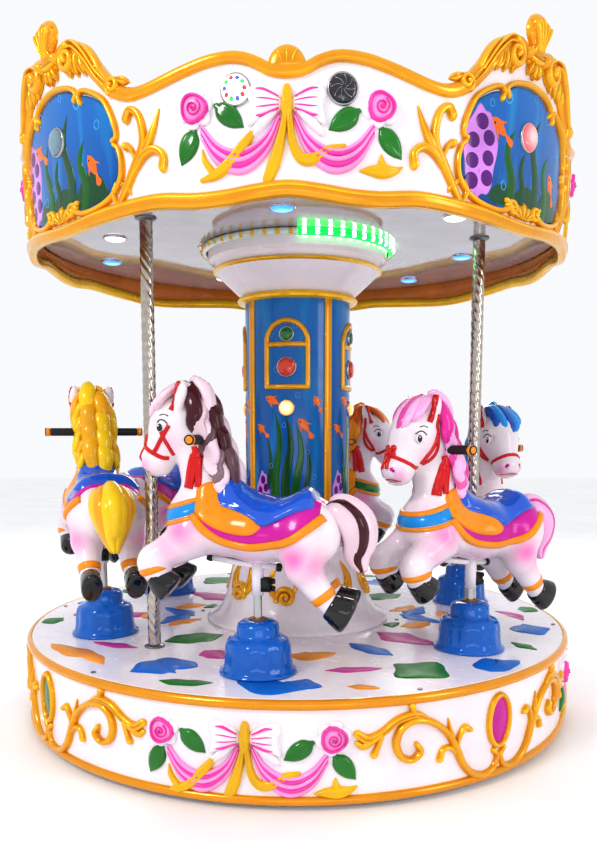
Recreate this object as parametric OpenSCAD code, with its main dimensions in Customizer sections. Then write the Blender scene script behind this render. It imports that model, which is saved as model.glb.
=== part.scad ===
// Six-seat children's carousel: a turntable with galloping horses under a crown canopy.
// The origin is on the floor at the turning axis, +Z is up and the front bow faces -Y.
// Angles round the axis are counted from -Y towards +X.

/* [Platform] */
// Radius of the platform skirt
skirt_r = 985; // [970:1:1000]
// Height of the deck above the floor
deck_z = 312; // [310:1:316]
// Gap between the skirt and the floor
skirt_gap = 15; // [10:1:20]
// Wall of the fibreglass mouldings
shell_t = 6; // [4:1:7]
// Radius of the gold bead's section
bead_r = 15; // [10:1:16]

/* [Lift] */
// Radius of the circle that the horses stand on
horse_ring_r = 734; // [730:1:740]
// Turn of the first horse from the front
horse_turn = -9.2; // [-12:0.1:-6]
// Throw of each lift crank
throw = 33; // [25:1:33]
// Direction of the horse that is highest at rest
lift_high_turn = -76; // [-90:1:-60]
// Radius of the lift rod
rod_r = 12.5; // [11:0.5:12.5]
// Clearance between a shaft and its bore
fit = 0.05; // [0.02:0.01:0.1]

/* [Column] */
// Radius of the painted column
column_r = 195; // [190:1:200]
// Turn of the column's first panel from the front
column_turn = -11.5; // [-15:0.5:-8]
// Radius of the handrail poles
pole_r = 21; // [18:1:21]
// Radius of the circle that the poles stand on
pole_ring_r = 657; // [650:1:664]
// Turn of the first pole from the front
pole_turn = -46.4; // [-50:0.1:-44]

/* [Canopy] */
// Height of the ceiling above the floor
ceiling_z = 1689; // [1685:1:1692]
// Outer radius of the crown at its lower edge
crown_r = 928; // [925:1:935]
// Height of the crown's lower edge
crown_z = 1600; // [1596:1:1604]
// Height of the crown's crests
crest_z = 2172; // [2165:1:2185]
// How far the second horse is turned inwards on its rod
second_yaw = 22; // [0:1:25]

/* [Drive] */
// Gear module
gear_m = 5; // [5]
// Teeth of the slewing gear
gear_teeth = 48; // [48]
// Teeth of the drive pinion
pinion_teeth = 16; // [16]
// Radius of the fixed track that the crank rollers run on
track_r = 240; // [240]
// Radius of a crank roller
roller_r = 60; // [60]

/* [Hidden] */
$fn = 72;
seats = 6;
poles = 3;
seat_step = 360 / seats;
crank_z = 190;
hub_plate_z = 92;
hub_plate_t = 8;
bearing_z = hub_plate_z + hub_plate_t;
bearing_h = 40;
arm_h = 40;
arm_w = 60;
deck_under_z = deck_z - 8;
arm_z = deck_under_z - arm_h;
foot_turn = horse_turn + seat_step / 2;
foot_ring_r = 740;
motor_turn = horse_turn - seat_step;
pressure_angle = 20;
tooth_play = 0.25;
centre_gap = 0.3;
pinion_ring_r = gear_m * (gear_teeth + pinion_teeth) / 2 + centre_gap;
pedestal_h = 158;
bush_r = 20;
rod_show = 60;
bracket_z = deck_z + pedestal_h + rod_show;
yoke_in_r = horse_ring_r - 13.5;
yoke_t = 27;
plinth_top_z = 600;
column_top_z = 1486;
cover_low_z = 1512;
cover_mid_z = 1596;
crown_steps = 96;
crown_lean = 0.05;
blob_sides = 10;

// Places its children at a direction and a distance from the turning axis, -Y side outwards
module at_turn(turn, r = 0) {
    rotate([0, 0, turn]) translate([0, -r, 0]) children();
}

// A cylinder along the outward direction, from radius r0 to r1
module radial_rod(r, r0, r1, z = 0, side = 0) {
    translate([side, -r0, z]) rotate([90, 0, 0]) cylinder(r = r, h = r1 - r0);
}

module ring(r_out, r_in, z0, z1) {
    rotate_extrude() translate([r_in, z0]) square([r_out - r_in, z1 - z0]);
}

function seat_turn(k) = horse_turn + seat_step * k;
function crank_turn(k) = seat_turn(k) - lift_high_turn;
function lift(k) = throw * cos(crank_turn(k));

// ---- Fixed base ----

module box_arm(r0, r1, w, z, h, wall) {
    difference() {
        translate([-w / 2, -r1, z]) cube([w, r1 - r0, h]);
        translate([-w / 2 + wall, -r1 - 1, z + wall]) cube([w - 2 * wall, r1 - r0 + 2, h - 2 * wall]);
    }
}

module ground_frame() {
    frame_arm_w = 50;
    stud_r = 8;
    color("dimgray") difference() {
        union() {
            for (k = [0 : seats - 1])
                at_turn(foot_turn + seat_step * k) box_arm(90, 790, frame_arm_w, hub_plate_z - arm_h, arm_h, 4);
            translate([0, 0, hub_plate_z]) cylinder(r = track_r + 22, h = hub_plate_t);
        }
        for (k = [0 : seats - 1])
            at_turn(foot_turn + seat_step * k, foot_ring_r) cylinder(r = stud_r + 0.2, h = bearing_z + 5);
        at_turn(motor_turn, pinion_ring_r) cylinder(r = 14, h = bearing_z + 5);
    }
}

module levelling_feet() {
    color("black")
        for (k = [0 : seats - 1])
            at_turn(foot_turn + seat_step * k, foot_ring_r) {
                cylinder(r = 38, h = 12);
                cylinder(r = 8, h = bearing_z + 4);
                translate([0, 0, 36]) cylinder(r = 14, h = 16, $fn = 6);
            }
}

module slewing_inner_ring() {
    color("silver") {
        rotate_extrude() polygon([[62, bearing_z], [96, bearing_z], [96, bearing_z + 5], [88, bearing_z + 5],
            [88, bearing_z + bearing_h], [62, bearing_z + bearing_h]]);
    }
}

module crank_track() {
    track_top = crank_z - roller_r - 0.3;
    color("gray") rotate_extrude() polygon([[track_r - 4, bearing_z], [track_r + 4, bearing_z],
        [track_r + 4, track_top - 18], [track_r + 12, track_top - 18], [track_r + 12, track_top],
        [track_r - 12, track_top], [track_r - 12, track_top - 18], [track_r - 4, track_top - 18]]);
}

module gearmotor() {
    box_r0 = 120;
    box_r1 = 210;
    box_half_w = 35;
    box_z = 32;
    motor_r = 34;
    color("slategray") at_turn(motor_turn) difference() {
        union() {
            translate([-box_half_w, -box_r1, box_z]) cube([2 * box_half_w, box_r1 - box_r0, hub_plate_z - box_z]);
            radial_rod(motor_r, box_r1 - 1, 380, 58);
            radial_rod(motor_r + 3, 375, 405, 58);
        }
        translate([0, -pinion_ring_r, box_z + 15]) cylinder(r = 10 + fit, h = 60);
    }
}

module slip_ring() {
    color("dimgray") {
        translate([0, 0, bearing_z]) cylinder(r = 28, h = 50);
        translate([0, 0, bearing_z + 50]) cylinder(r = 22, h = 30);
    }
}

module power_inlet() {
    color("black") at_turn(foot_turn + 2 * seat_step) difference() {
        union() {
            translate([-30, -830, 48]) cube([60, 40, 46]);
            radial_rod(14, 829, 848, 66);
        }
        radial_rod(5, 836, 850, 66);
    }
}

module control_box() {
    color("lightgray") at_turn(foot_turn + 2 * seat_step) {
        translate([-70, -550, hub_plate_z]) cube([140, 200, 55]);
        translate([-76, -556, hub_plate_z + 55]) cube([152, 212, 4]);
    }
}

// ---- Gears ----

function involute(a) = tan(a) * 180 / PI - a;
function tooth_half(r, pitch_r, teeth) =
    90 / teeth - tooth_play / pitch_r * 90 / PI + involute(pressure_angle)
    - involute(acos(min(1, pitch_r * cos(pressure_angle) / r)));
function tooth_radii(teeth) = [for (d = [-1.25, -0.6, 0, 0.5, 1]) gear_m * (teeth / 2 + d)];

module gear_outline(teeth) {
    pitch_r = gear_m * teeth / 2;
    radii = tooth_radii(teeth);
    points = [for (t = [0 : teeth - 1], i = [0 : 9])
        let (up = i < 5, r = radii[up ? i : 9 - i], half = tooth_half(r, pitch_r, teeth),
            a = 360 / teeth * t + (up ? -half : half))
        [r * cos(a), r * sin(a)]];
    polygon(points);
}

module drive_pinion() {
    color("silver") at_turn(motor_turn, pinion_ring_r) {
        translate([0, 0, bearing_z + 8]) rotate([0, 0, 180 / pinion_teeth])
            linear_extrude(28) gear_outline(pinion_teeth);
        translate([0, 0, 50]) cylinder(r = 10, h = bearing_z + 8 - 50);
    }
}

module slewing_outer_gear() {
    color("darkgray") difference() {
        translate([0, 0, bearing_z + 5.3]) rotate([0, 0, motor_turn])
            linear_extrude(bearing_h - 5.3) gear_outline(gear_teeth);
        translate([0, 0, bearing_z]) cylinder(r = 88 + fit, h = bearing_h + 5);
    }
}

// ---- Turntable ----

module turntable_frame() {
    hub_r = 130;
    hub_z = arm_z - 8;
    color("dimgray") difference() {
        union() {
            ring(112, 92, bearing_z + bearing_h, hub_z);
            ring(hub_r, 60, hub_z, arm_z);
            for (k = [0 : seats - 1])
                at_turn(seat_turn(k)) box_arm(110, 950, arm_w, arm_z, arm_h, 4);
            ring(700, 650, deck_under_z - 10, deck_under_z);
            ring(940, 900, deck_under_z - 20, deck_under_z);
        }
        for (k = [0 : seats - 1])
            at_turn(seat_turn(k), horse_ring_r) cylinder(r = bush_r + fit, h = deck_z);
    }
}

module drum_shell() {
    mast_hole_r = 150;
    lip = 30;
    round_r = 5;
    color("white") difference() {
        rotate_extrude() polygon([[skirt_r - lip, skirt_gap], [skirt_r, skirt_gap], [skirt_r, deck_z - round_r],
            [skirt_r - round_r, deck_z], [mast_hole_r, deck_z], [mast_hole_r, deck_under_z],
            [skirt_r - shell_t, deck_under_z], [skirt_r - shell_t, skirt_gap + shell_t],
            [skirt_r - lip, skirt_gap + shell_t]]);
        for (k = [0 : seats - 1])
            at_turn(seat_turn(k), horse_ring_r) cylinder(r = bush_r + 4, h = deck_z + 1);
    }
}

module half_bead(r, z, section_r) {
    rotate_extrude() intersection() {
        translate([r, z]) circle(section_r);
        translate([r, z - section_r]) square([2 * section_r, 2 * section_r]);
    }
}

module drum_beads() {
    color("goldenrod") {
        half_bead(skirt_r, deck_z - bead_r, bead_r);
        half_bead(skirt_r, skirt_gap + 13, 13);
    }
}

module deck_screws() {
    rim_screw_r = 960;
    foot_screw_r = 385;
    color("dimgray") {
        for (k = [0 : seats - 1])
            at_turn(seat_turn(k) - seat_step / 2, rim_screw_r) translate([0, 0, deck_z]) cylinder(r = 7, h = 3);
        for (k = [0 : 3])
            at_turn(column_turn + 90 * k, foot_screw_r) translate([0, 0, deck_z]) cylinder(r = 7, h = 3);
    }
}

module pedestals() {
    color("royalblue")
        for (k = [0 : seats - 1])
            at_turn(seat_turn(k), horse_ring_r) translate([0, 0, deck_z]) rotate_extrude()
                polygon([[20.3, 0], [118, 0], [118, 6], [104, 14], [98, 28], [93, 85], [90, 98], [80, 108],
                    [64, 112], [63, 134], [58, 148], [50, pedestal_h], [20.3, pedestal_h]]);
}

module guide_bushes() {
    bush_z = arm_z - 14;
    bush_top = deck_z + pedestal_h;
    color("darkgoldenrod")
        for (k = [0 : seats - 1])
            at_turn(seat_turn(k), horse_ring_r) rotate_extrude()
                polygon([[rod_r + fit, bush_z], [bush_r, bush_z], [bush_r, bush_top], [bush_r + 5, bush_top],
                    [bush_r + 5, bush_top + 4], [rod_r + fit, bush_top + 4]]);
}

module crank_bearings() {
    block_t = 25;
    color("slategray")
        for (k = [0 : seats - 1])
            for (r0 = [320, 655])
                at_turn(seat_turn(k)) difference() {
                    translate([-24, -r0 - block_t, crank_z - 18]) cube([48, block_t, arm_z - crank_z + 18]);
                    radial_rod(10 + fit, r0 - 1, r0 + block_t + 1, crank_z);
                }
}

module crankshaft(k) {
    disc_r0 = 700;
    disc_t = 11;
    pin_r = 8;
    color("silver") at_turn(seat_turn(k)) {
        radial_rod(10, 222, disc_r0 + 1, crank_z);
        radial_rod(roller_r, track_r - 8, track_r + 8, crank_z);
        radial_rod(throw + 13, disc_r0, disc_r0 + disc_t, crank_z);
        radial_rod(pin_r, disc_r0 + disc_t - 1, yoke_in_r - 1, crank_z + lift(k), throw * sin(crank_turn(k)));
    }
}

// ---- Lift rods and horses; x points to the nose, y to the left and z starts at the bracket's lower end ----

module on_seat(k) {
    at_turn(seat_turn(k), horse_ring_r) translate([0, 0, bracket_z + lift(k)]) rotate([0, 0, 180]) children();
}

// The same frame, turned about the rod with the horse
module on_bracket(k) {
    on_seat(k) rotate([0, 0, k == 1 ? -second_yaw : 0]) children();
}

module tube_between(a, b, r) {
    d = b - a;
    translate(a) rotate([0, atan2(norm([d.x, d.y]), d.z), atan2(d.y, d.x)]) cylinder(r = r, h = norm(d));
}

module lift_rod(k) {
    yoke_w = 2 * throw + 56;
    yoke_h = 40;
    slot_h = 17;
    yoke_top = crank_z - bracket_z + yoke_h / 2;
    color("gainsboro") on_seat(k) {
        translate([0, 0, yoke_top - 1]) cylinder(r = rod_r, h = 1 - yoke_top);
        difference() {
            translate([-yoke_w / 2, -yoke_t / 2, yoke_top - yoke_h]) cube([yoke_w, yoke_t, yoke_h]);
            translate([-throw - 10, -yoke_t, yoke_top - yoke_h / 2 - slot_h / 2])
                cube([2 * throw + 20, 2 * yoke_t, slot_h]);
        }
    }
    color("gainsboro") on_bracket(k) {
        cylinder(r = 17, h = 112);
        translate([-38, -12, 14]) cube([30, 24, 36]);
        for (z = [20, 42])
            translate([-50, 0, z]) rotate([0, 90, 0]) cylinder(r = 6, h = 14);
        tube_between([-62, 0, 84], [150, 0, 112], 8);
    }
}

module blob(p) {
    translate([p[0], p[1], p[2]]) sphere(p[3], $fn = blob_sides);
}

// A skin stretched over the given balls, each [x, y, z, radius]
module skin(balls) {
    hull() for (p = balls) blob(p);
}

// The same skin on the left and the right
module skin_pair(balls) {
    for (s = [-1, 1]) skin([for (p = balls) [p[0], s * p[1], p[2], p[3]]]);
}

module horse_shape() {
    skin([[178, 22, 212, 88], [178, -22, 212, 88], [30, 30, 190, 100], [30, -30, 190, 100]]);
    skin([[30, 30, 190, 100], [30, -30, 190, 100], [-145, 34, 190, 96], [-145, -34, 190, 96]]);
    skin([[182, 0, 270, 76], [190, 0, 430, 68], [120, 0, 380, 50]]);
    skin([[190, 0, 430, 68], [200, 0, 528, 80], [130, 0, 540, 48], [110, 0, 400, 46]]);
    skin([[200, 0, 528, 80], [258, 0, 480, 66], [300, 0, 395, 46]]);
    skin_pair([[222, 52, 585, 20], [212, 60, 606, 8]]);
    skin_pair([[180, 62, 170, 62], [285, 80, 112, 40]]);
    skin_pair([[285, 80, 112, 38], [245, 82, 30, 38]]);
    skin_pair([[-150, 62, 150, 74], [-195, 70, 50, 40]]);
    skin_pair([[-195, 70, 50, 40], [-258, 72, -52, 34]]);
    skin([[-225, 0, 235, 40], [-285, 0, 175, 34], [-298, 0, 108, 24]]);
    skin([[88, 0, 326, 24], [120, 78, 275, 24], [120, -78, 275, 24], [-20, 105, 190, 28], [-20, -105, 190, 28]]);
    skin([[-178, 50, 268, 24], [-178, -50, 268, 24], [-20, 105, 190, 28], [-20, -105, 190, 28]]);
}

module horse(k) {
    color("white") on_bracket(k) horse_shape();
}

module handlebar(k) {
    bar_half = 172;
    bar_x = 152;
    bar_z = 458;
    color("black") on_bracket(k) translate([bar_x, 0, bar_z]) rotate([90, 0, 0]) {
        translate([0, 0, -bar_half + 8]) cylinder(r = 11, h = 2 * bar_half - 16);
        for (s = [-1, 1]) translate([0, 0, s * (bar_half - 8) - 8]) cylinder(r = 14, h = 16);
    }
}

// ---- Column ----

module column_mast() {
    color("silver") {
        difference() {
            union() {
                translate([0, 0, arm_z]) cylinder(r = 57, h = 1700 - arm_z);
                translate([0, 0, arm_z]) cylinder(r = 100, h = 10);
            }
            translate([0, 0, arm_z - 1]) cylinder(r = 52, h = 1702 - arm_z);
        }
    }
}

module plinth() {
    color("white") rotate_extrude() polygon([[348, deck_z], [348, deck_z + 10], [330, deck_z + 18],
        [300, deck_z + 40], [274, deck_z + 82], [255, deck_z + 140], [240, deck_z + 205],
        [222, deck_z + 262], [205, plinth_top_z], [185, plinth_top_z], [185, plinth_top_z - 6],
        [198, plinth_top_z - 8], [216, deck_z + 258], [234, deck_z + 203], [249, deck_z + 138],
        [268, deck_z + 80], [294, deck_z + 36], [326, deck_z + 12], [326, deck_z]]);
}

module plinth_scrolls() {
    scroll_z = deck_z + 130;
    scroll_turn = -9.5;
    color("goldenrod")
        for (k = [0 : 7])
            at_turn(scroll_turn + 45 * k)
                translate([0, -258, scroll_z]) rotate([78, 0, 0]) difference() {
                    cylinder(r = 34, h = 16);
                    translate([0, 0, 9]) difference() {
                        cylinder(r = 24, h = 10);
                        translate([0, 0, -1]) cylinder(r = 12, h = 12);
                    }
                }
}

module column_shell() {
    color("royalblue") ring(column_r, column_r - 5, plinth_top_z, column_top_z);
}

// Outline of an arched window, grown by a margin
module arch_outline(half_w, z0, z1, margin) {
    w = half_w + margin;
    translate([-w, z0 - margin]) square([2 * w, z1 - half_w - z0 + margin]);
    translate([0, z1 - half_w]) intersection() {
        circle(w, $fn = 32);
        translate([-w, -1]) square([2 * w, w + 2]);
    }
}

module column_mouldings() {
    strip_half_w = 14;
    window_half_w = 75;
    window_low_z = 1180;
    window_top_z = 1410;
    bar_z = 1328;
    frame_half_w = 9;
    color("goldenrod") {
        for (k = [0 : 3])
            at_turn(column_turn + 45 + 90 * k) intersection() {
                ring(column_r + 9, column_r + 0.1, plinth_top_z + 1, column_top_z - 1);
                translate([-strip_half_w, -column_r - 30, 0]) cube([2 * strip_half_w, 60, column_top_z]);
            }
        for (k = [0 : 3])
            at_turn(column_turn + 90 * k) intersection() {
                ring(column_r + 10, column_r + 0.1, 1100, 1460);
                translate([0, -column_r + 60, 0]) rotate([90, 0, 0]) linear_extrude(120) difference() {
                    arch_outline(window_half_w, window_low_z, window_top_z, frame_half_w);
                    difference() {
                        arch_outline(window_half_w, window_low_z, window_top_z, -frame_half_w);
                        translate([-window_half_w, bar_z - frame_half_w])
                            square([2 * window_half_w, 2 * frame_half_w]);
                    }
                }
            }
    }
}

module column_lamps() {
    color("orangered")
        for (k = [0 : 3])
            at_turn(column_turn + 90 * k) {
                radial_rod(24, column_r + 0.3, column_r + 16, 1363);
                radial_rod(34, column_r + 0.3, column_r + 20, 1249);
                radial_rod(26, column_r + 0.3, column_r + 18, 1106);
            }
}

module handrail_poles() {
    tube_t = 2;
    color("silver")
        for (k = [0 : poles - 1])
            at_turn(pole_turn + 360 / poles * k, pole_ring_r) difference() {
                translate([0, 0, deck_z]) cylinder(r = pole_r, h = ceiling_z - deck_z);
                translate([0, 0, deck_z + 4]) cylinder(r = pole_r - tube_t, h = ceiling_z - deck_z - 8);
            }
}

module pole_flanges() {
    color("silver")
        for (k = [0 : poles - 1])
            at_turn(pole_turn + 360 / poles * k, pole_ring_r)
                for (z = [deck_z, ceiling_z - 10])
                    ring(pole_r + 13, pole_r + 0.1, z, z + 10);
}

// ---- Canopy ----

module canopy_frame() {
    spoke_w = 40;
    frame_z = ceiling_z + 6;
    color("dimgray") difference() {
        union() {
            ring(110, 57.2, frame_z, frame_z + 14);
            for (k = [0 : seats - 1])
                at_turn(pole_turn + seat_step * k) box_arm(90, 905, spoke_w, frame_z, spoke_w, 3);
        }
        translate([0, 0, frame_z - 1]) cylinder(r = 57.2, h = 60);
    }
}

// Distance from the nearest bow, 0 to 45 degrees; the crown repeats every 90
function from_bow(a) = abs(((a + 46.6) % 90 + 90) % 90 - 45);
function crown_top(a) = lookup(from_bow(a), [[0, 1948], [4, 1953], [9, 1963], [16, 1945], [24, 1914],
    [29, 1936], [36, 2010], [42, 2092], [45, 2108]]);
function crown_low(a) = crown_z + lookup(from_bow(a), [[0, 4], [12, 2], [22, 9], [32, 0], [45, -13]]);
function crown_wall_r(z) = crown_r + crown_lean * (z - crown_z);

// Section of the crown at one direction: gold beads at both edges and the wall between them
function crown_section(a) = let (z0 = crown_low(a), z1 = crown_top(a), b = 11) [
    [crown_wall_r(z0) - shell_t, z0], [crown_wall_r(z0) + 4, z0], [crown_wall_r(z0) + b, z0 + 6],
    [crown_wall_r(z0) + b, z0 + 16], [crown_wall_r(z0) + 2, z0 + 24],
    [crown_wall_r(z1) + 2, z1 - 24], [crown_wall_r(z1) + b, z1 - 16], [crown_wall_r(z1) + b, z1 - 6],
    [crown_wall_r(z1) + 3, z1], [crown_wall_r(z1) - shell_t, z1]];

module crown_shell() {
    rows = 10;
    points = [for (i = [0 : crown_steps - 1])
        let (a = 360 / crown_steps * i, section = crown_section(a))
        for (p = section) [p[0] * sin(a), -p[0] * cos(a), p[1]]];
    faces = [for (i = [0 : crown_steps - 1], j = [0 : rows - 1])
        let (n = (i + 1) % crown_steps, m = (j + 1) % rows)
        for (f = [[i * rows + j, i * rows + m, n * rows + m], [i * rows + j, n * rows + m, n * rows + j]]) f];
    color("white") polyhedron(points, faces);
}

// Acanthus finials on the four peaks and the frames round the painted medallions
module crown_crests() {
    peak_turn = 43.4;
    crest_low_z = 2030;
    medal_z = 1812;
    medal_half_h = 180;
    medal_spread = 1.25;
    rim_w = 16;
    color("goldenrod")
        for (k = [0 : 3])
            at_turn(peak_turn + 90 * k) {
                translate([0, -crown_r - 28, 0]) rotate([90, 0, 0]) linear_extrude(26)
                    polygon([[-22, crest_low_z], [22, crest_low_z], [56, crest_low_z + 45],
                        [60, crest_low_z + 80], [44, crest_low_z + 110], [22, crest_z - 8], [0, crest_z],
                        [-22, crest_z - 8], [-44, crest_low_z + 110], [-60, crest_low_z + 80],
                        [-56, crest_low_z + 45]]);
                intersection() {
                    ring(crown_r + 38, crown_r + 10, medal_z - 200, medal_z + 200);
                    translate([0, -crown_r + 60, medal_z]) rotate([90, 0, 0]) linear_extrude(160) difference() {
                        scale([medal_spread, 1]) circle(medal_half_h, $fn = 40);
                        scale([medal_spread, 1]) circle(medal_half_h - rim_w, $fn = 40);
                    }
                }
            }
}

module canopy_lamps() {
    lamp_r = 35;
    wall_gap = 3.2;
    ceiling_lamps = [[575, -4.6], [659, -73.6], [764, -106], [674, 46.9], [769, 140], [640, -150], [640, 100]];
    color("deepskyblue") {
        for (p = ceiling_lamps)
            at_turn(p[1], p[0]) translate([0, 0, ceiling_z - 8]) cylinder(r = lamp_r, h = 8);
        for (k = [0 : 3]) {
            for (a = [-9.5, 6.9])
                at_turn(a + 90 * k) radial_rod(lamp_r, crown_wall_r(1910) + wall_gap, crown_wall_r(1875) + 16, 1875);
            at_turn(43.4 + 90 * k) radial_rod(lamp_r, crown_wall_r(1880) + wall_gap, crown_wall_r(1845) + 18, 1845);
        }
    }
}

module ceiling() {
    color("white") ring(918, 57.2, ceiling_z, ceiling_z + 6);
}

module roof_panel() {
    edge_r = 933;
    edge_z = 1850;
    hat_r = 70;
    hat_z = 2000;
    color("white") rotate_extrude() polygon([[0, hat_z + 12], [hat_r, hat_z], [500, 1938], [edge_r, edge_z + 5],
        [edge_r, edge_z], [500, 1933], [hat_r, hat_z - 5], [0, hat_z + 7]]);
}

module ceiling_cover() {
    color("white") rotate_extrude() {
        polygon([[208, cover_low_z], [300, cover_mid_z], [294, cover_mid_z], [202, cover_low_z]]);
        polygon([[294, cover_mid_z + 14], [300, cover_mid_z + 14], [312, 1630], [326, 1640],
            [332, ceiling_z], [326, ceiling_z], [320, 1646], [306, 1636]]);
    }
}

module cover_rings() {
    color("goldenrod") {
        rotate_extrude() polygon([[190, column_top_z], [208, column_top_z], [219, 1491], [223, 1499],
            [219, 1507], [208, cover_low_z], [190, cover_low_z]]);
        rotate_extrude() polygon([[288, cover_mid_z], [302, cover_mid_z], [310, cover_mid_z + 3],
            [313, cover_mid_z + 7], [310, cover_mid_z + 11], [302, cover_mid_z + 14], [288, cover_mid_z + 14]]);
    }
}

module led_strip() {
    color("springgreen") ring(356, 344, ceiling_z - 4, ceiling_z);
}

ground_frame();
levelling_feet();
slewing_inner_ring();
crank_track();
gearmotor();
slip_ring();
power_inlet();
control_box();
drive_pinion();
slewing_outer_gear();
turntable_frame();
drum_shell();
drum_beads();
deck_screws();
pedestals();
guide_bushes();
crank_bearings();
column_mast();
column_shell();
column_mouldings();
column_lamps();
plinth();
plinth_scrolls();
handrail_poles();
pole_flanges();
canopy_frame();
crown_shell();
crown_crests();
canopy_lamps();
ceiling();
roof_panel();
ceiling_cover();
cover_rings();
led_strip();
crankshaft(0);  // crankshaft_1
crankshaft(1);  // crankshaft_2
crankshaft(2);  // crankshaft_3
crankshaft(3);  // crankshaft_4
crankshaft(4);  // crankshaft_5
crankshaft(5);  // crankshaft_6
lift_rod(0);  // lift_rod_1
lift_rod(1);  // lift_rod_2
lift_rod(2);  // lift_rod_3
lift_rod(3);  // lift_rod_4
lift_rod(4);  // lift_rod_5
lift_rod(5);  // lift_rod_6
horse(0);  // horse_1
horse(1);  // horse_2
horse(2);  // horse_3
horse(3);  // horse_4
horse(4);  // horse_5
horse(5);  // horse_6
handlebar(0);  // handlebar_1
handlebar(1);  // handlebar_2
handlebar(2);  // handlebar_3
handlebar(3);  // handlebar_4
handlebar(4);  // handlebar_5
handlebar(5);  // handlebar_6
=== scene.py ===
"""Looks of a six-horse merry-go-round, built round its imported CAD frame.

Places are in metres. Directions are degrees from the front towards +X.
"""

from math import atan2, cos, degrees, exp, hypot, pi, radians, sin, sqrt

import bmesh
import bpy
import numpy as np
from mathutils import Matrix, Vector
from mathutils.bvhtree import BVHTree


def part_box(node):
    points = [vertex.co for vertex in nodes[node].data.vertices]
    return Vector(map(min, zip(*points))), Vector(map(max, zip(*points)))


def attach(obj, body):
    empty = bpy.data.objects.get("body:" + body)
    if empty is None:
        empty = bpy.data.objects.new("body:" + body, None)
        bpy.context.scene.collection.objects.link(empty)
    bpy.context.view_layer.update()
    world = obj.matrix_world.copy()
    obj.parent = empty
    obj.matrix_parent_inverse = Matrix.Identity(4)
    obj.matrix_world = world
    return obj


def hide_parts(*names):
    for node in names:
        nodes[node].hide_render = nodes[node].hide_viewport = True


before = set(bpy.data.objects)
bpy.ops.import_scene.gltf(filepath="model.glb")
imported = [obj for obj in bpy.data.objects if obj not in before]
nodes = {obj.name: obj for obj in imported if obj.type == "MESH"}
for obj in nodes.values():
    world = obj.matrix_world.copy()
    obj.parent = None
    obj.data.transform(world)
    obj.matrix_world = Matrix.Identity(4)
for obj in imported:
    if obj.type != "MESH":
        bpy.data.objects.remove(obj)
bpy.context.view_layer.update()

# ---- Places that the frame gives ----

DECK_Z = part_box("drum_shell")[1][2]
DRUM_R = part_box("drum_shell")[1][0]
COLUMN_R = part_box("column_shell")[1][0]
COLUMN_LOW_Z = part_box("column_shell")[0][2]
COLUMN_TOP_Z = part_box("column_shell")[1][2]
CEILING_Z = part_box("ceiling")[0][2]

# ---- Driving dimensions, the same as the CAD's ----

BOW_TURN = -8.3
CROWN_BOW_TURN = -1.6
CROWN_R = 0.928
CROWN_Z = 1.6
CROWN_LEAN = 0.05
COLUMN_TURN = -11.5
POLE_R = 0.021
POLE_RING_R = 0.657
POLE_TURN = -46.4
HORSE_RING_R = 0.734
HORSE_TURN = -9.2
LIFT_HIGH_TURN = -76
THROW = 0.033
BRACKET_Z = 0.53
SEATS = range(6)
QUARTERS = range(4)


def seat_turn(k):
    return HORSE_TURN + 60 * k


def seat_lift(k):
    return THROW * cos(radians(seat_turn(k) - LIFT_HIGH_TURN))


def turned(turn, r, z):
    a = radians(turn)
    return (r * sin(a), -r * cos(a), z)


# ---- Materials ----


def rgb(r, g, b):
    """Linear colour from the 0 to 255 values that a picture shows."""

    def linear(v):
        v /= 255
        return v / 12.92 if v <= 0.04045 else ((v + 0.055) / 1.055) ** 2.4

    return (linear(r), linear(g), linear(b), 1)


def scaled(colour, f):
    return tuple(min(1, c * f) for c in colour[:3]) + (1,)


class Look:
    """A material's node tree, with short calls for the nodes that these looks share."""

    def __init__(self, name, rough=0.3, metal=0.0, coat=0.0, specular=0.5):
        self.material = bpy.data.materials.new(name)
        self.material.use_nodes = True
        self.tree = self.material.node_tree
        self.shader = self.tree.nodes["Principled BSDF"]
        self.shader.inputs["Roughness"].default_value = rough
        self.shader.inputs["Metallic"].default_value = metal
        self.shader.inputs["Specular IOR Level"].default_value = specular
        self.shader.inputs["Coat Weight"].default_value = coat
        self.shader.inputs["Coat Roughness"].default_value = 0.06
        self.place = self.node("ShaderNodeTexCoord").outputs["Object"]

    def node(self, kind, **inputs):
        n = self.tree.nodes.new(kind)
        for k, v in inputs.items():
            n.inputs[k.replace("_", " ")].default_value = v
        return n

    def link(self, a, b):
        self.tree.links.new(a, b)

    def noise(self, scale, detail=3.0):
        n = self.node("ShaderNodeTexNoise", Scale=scale, Detail=detail)
        self.link(self.place, n.inputs["Vector"])
        return n.outputs["Fac"]

    def mapped(self, value, low, high, out_low=0.0, out_high=1.0):
        n = self.node("ShaderNodeMapRange")
        self.link(value, n.inputs["Value"])
        for i, v in enumerate((low, high, out_low, out_high)):
            n.inputs[i + 1].default_value = v
        return n.outputs["Result"]

    def mix(self, factor, a, b):
        n = self.node("ShaderNodeMix")
        n.data_type = "RGBA"
        self.link(factor, n.inputs[0])
        for socket, v in ((n.inputs[6], a), (n.inputs[7], b)):
            if isinstance(v, tuple):
                socket.default_value = v
            else:
                self.link(v, socket)
        return n.outputs[2]

    def painted(self, name):
        n = self.node("ShaderNodeAttribute")
        n.attribute_name = name
        return n.outputs["Fac"]

    def colour(self, value):
        self.link(value, self.shader.inputs["Base Color"])

    def rough_over(self, scale, low, high):
        self.link(self.mapped(self.noise(scale), 0.3, 0.7, low, high), self.shader.inputs["Roughness"])

    def bump(self, height, strength, distance=0.001):
        n = self.node("ShaderNodeBump", Strength=strength, Distance=distance)
        self.link(height, n.inputs["Height"])
        self.link(n.outputs["Normal"], self.shader.inputs["Normal"])


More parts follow.
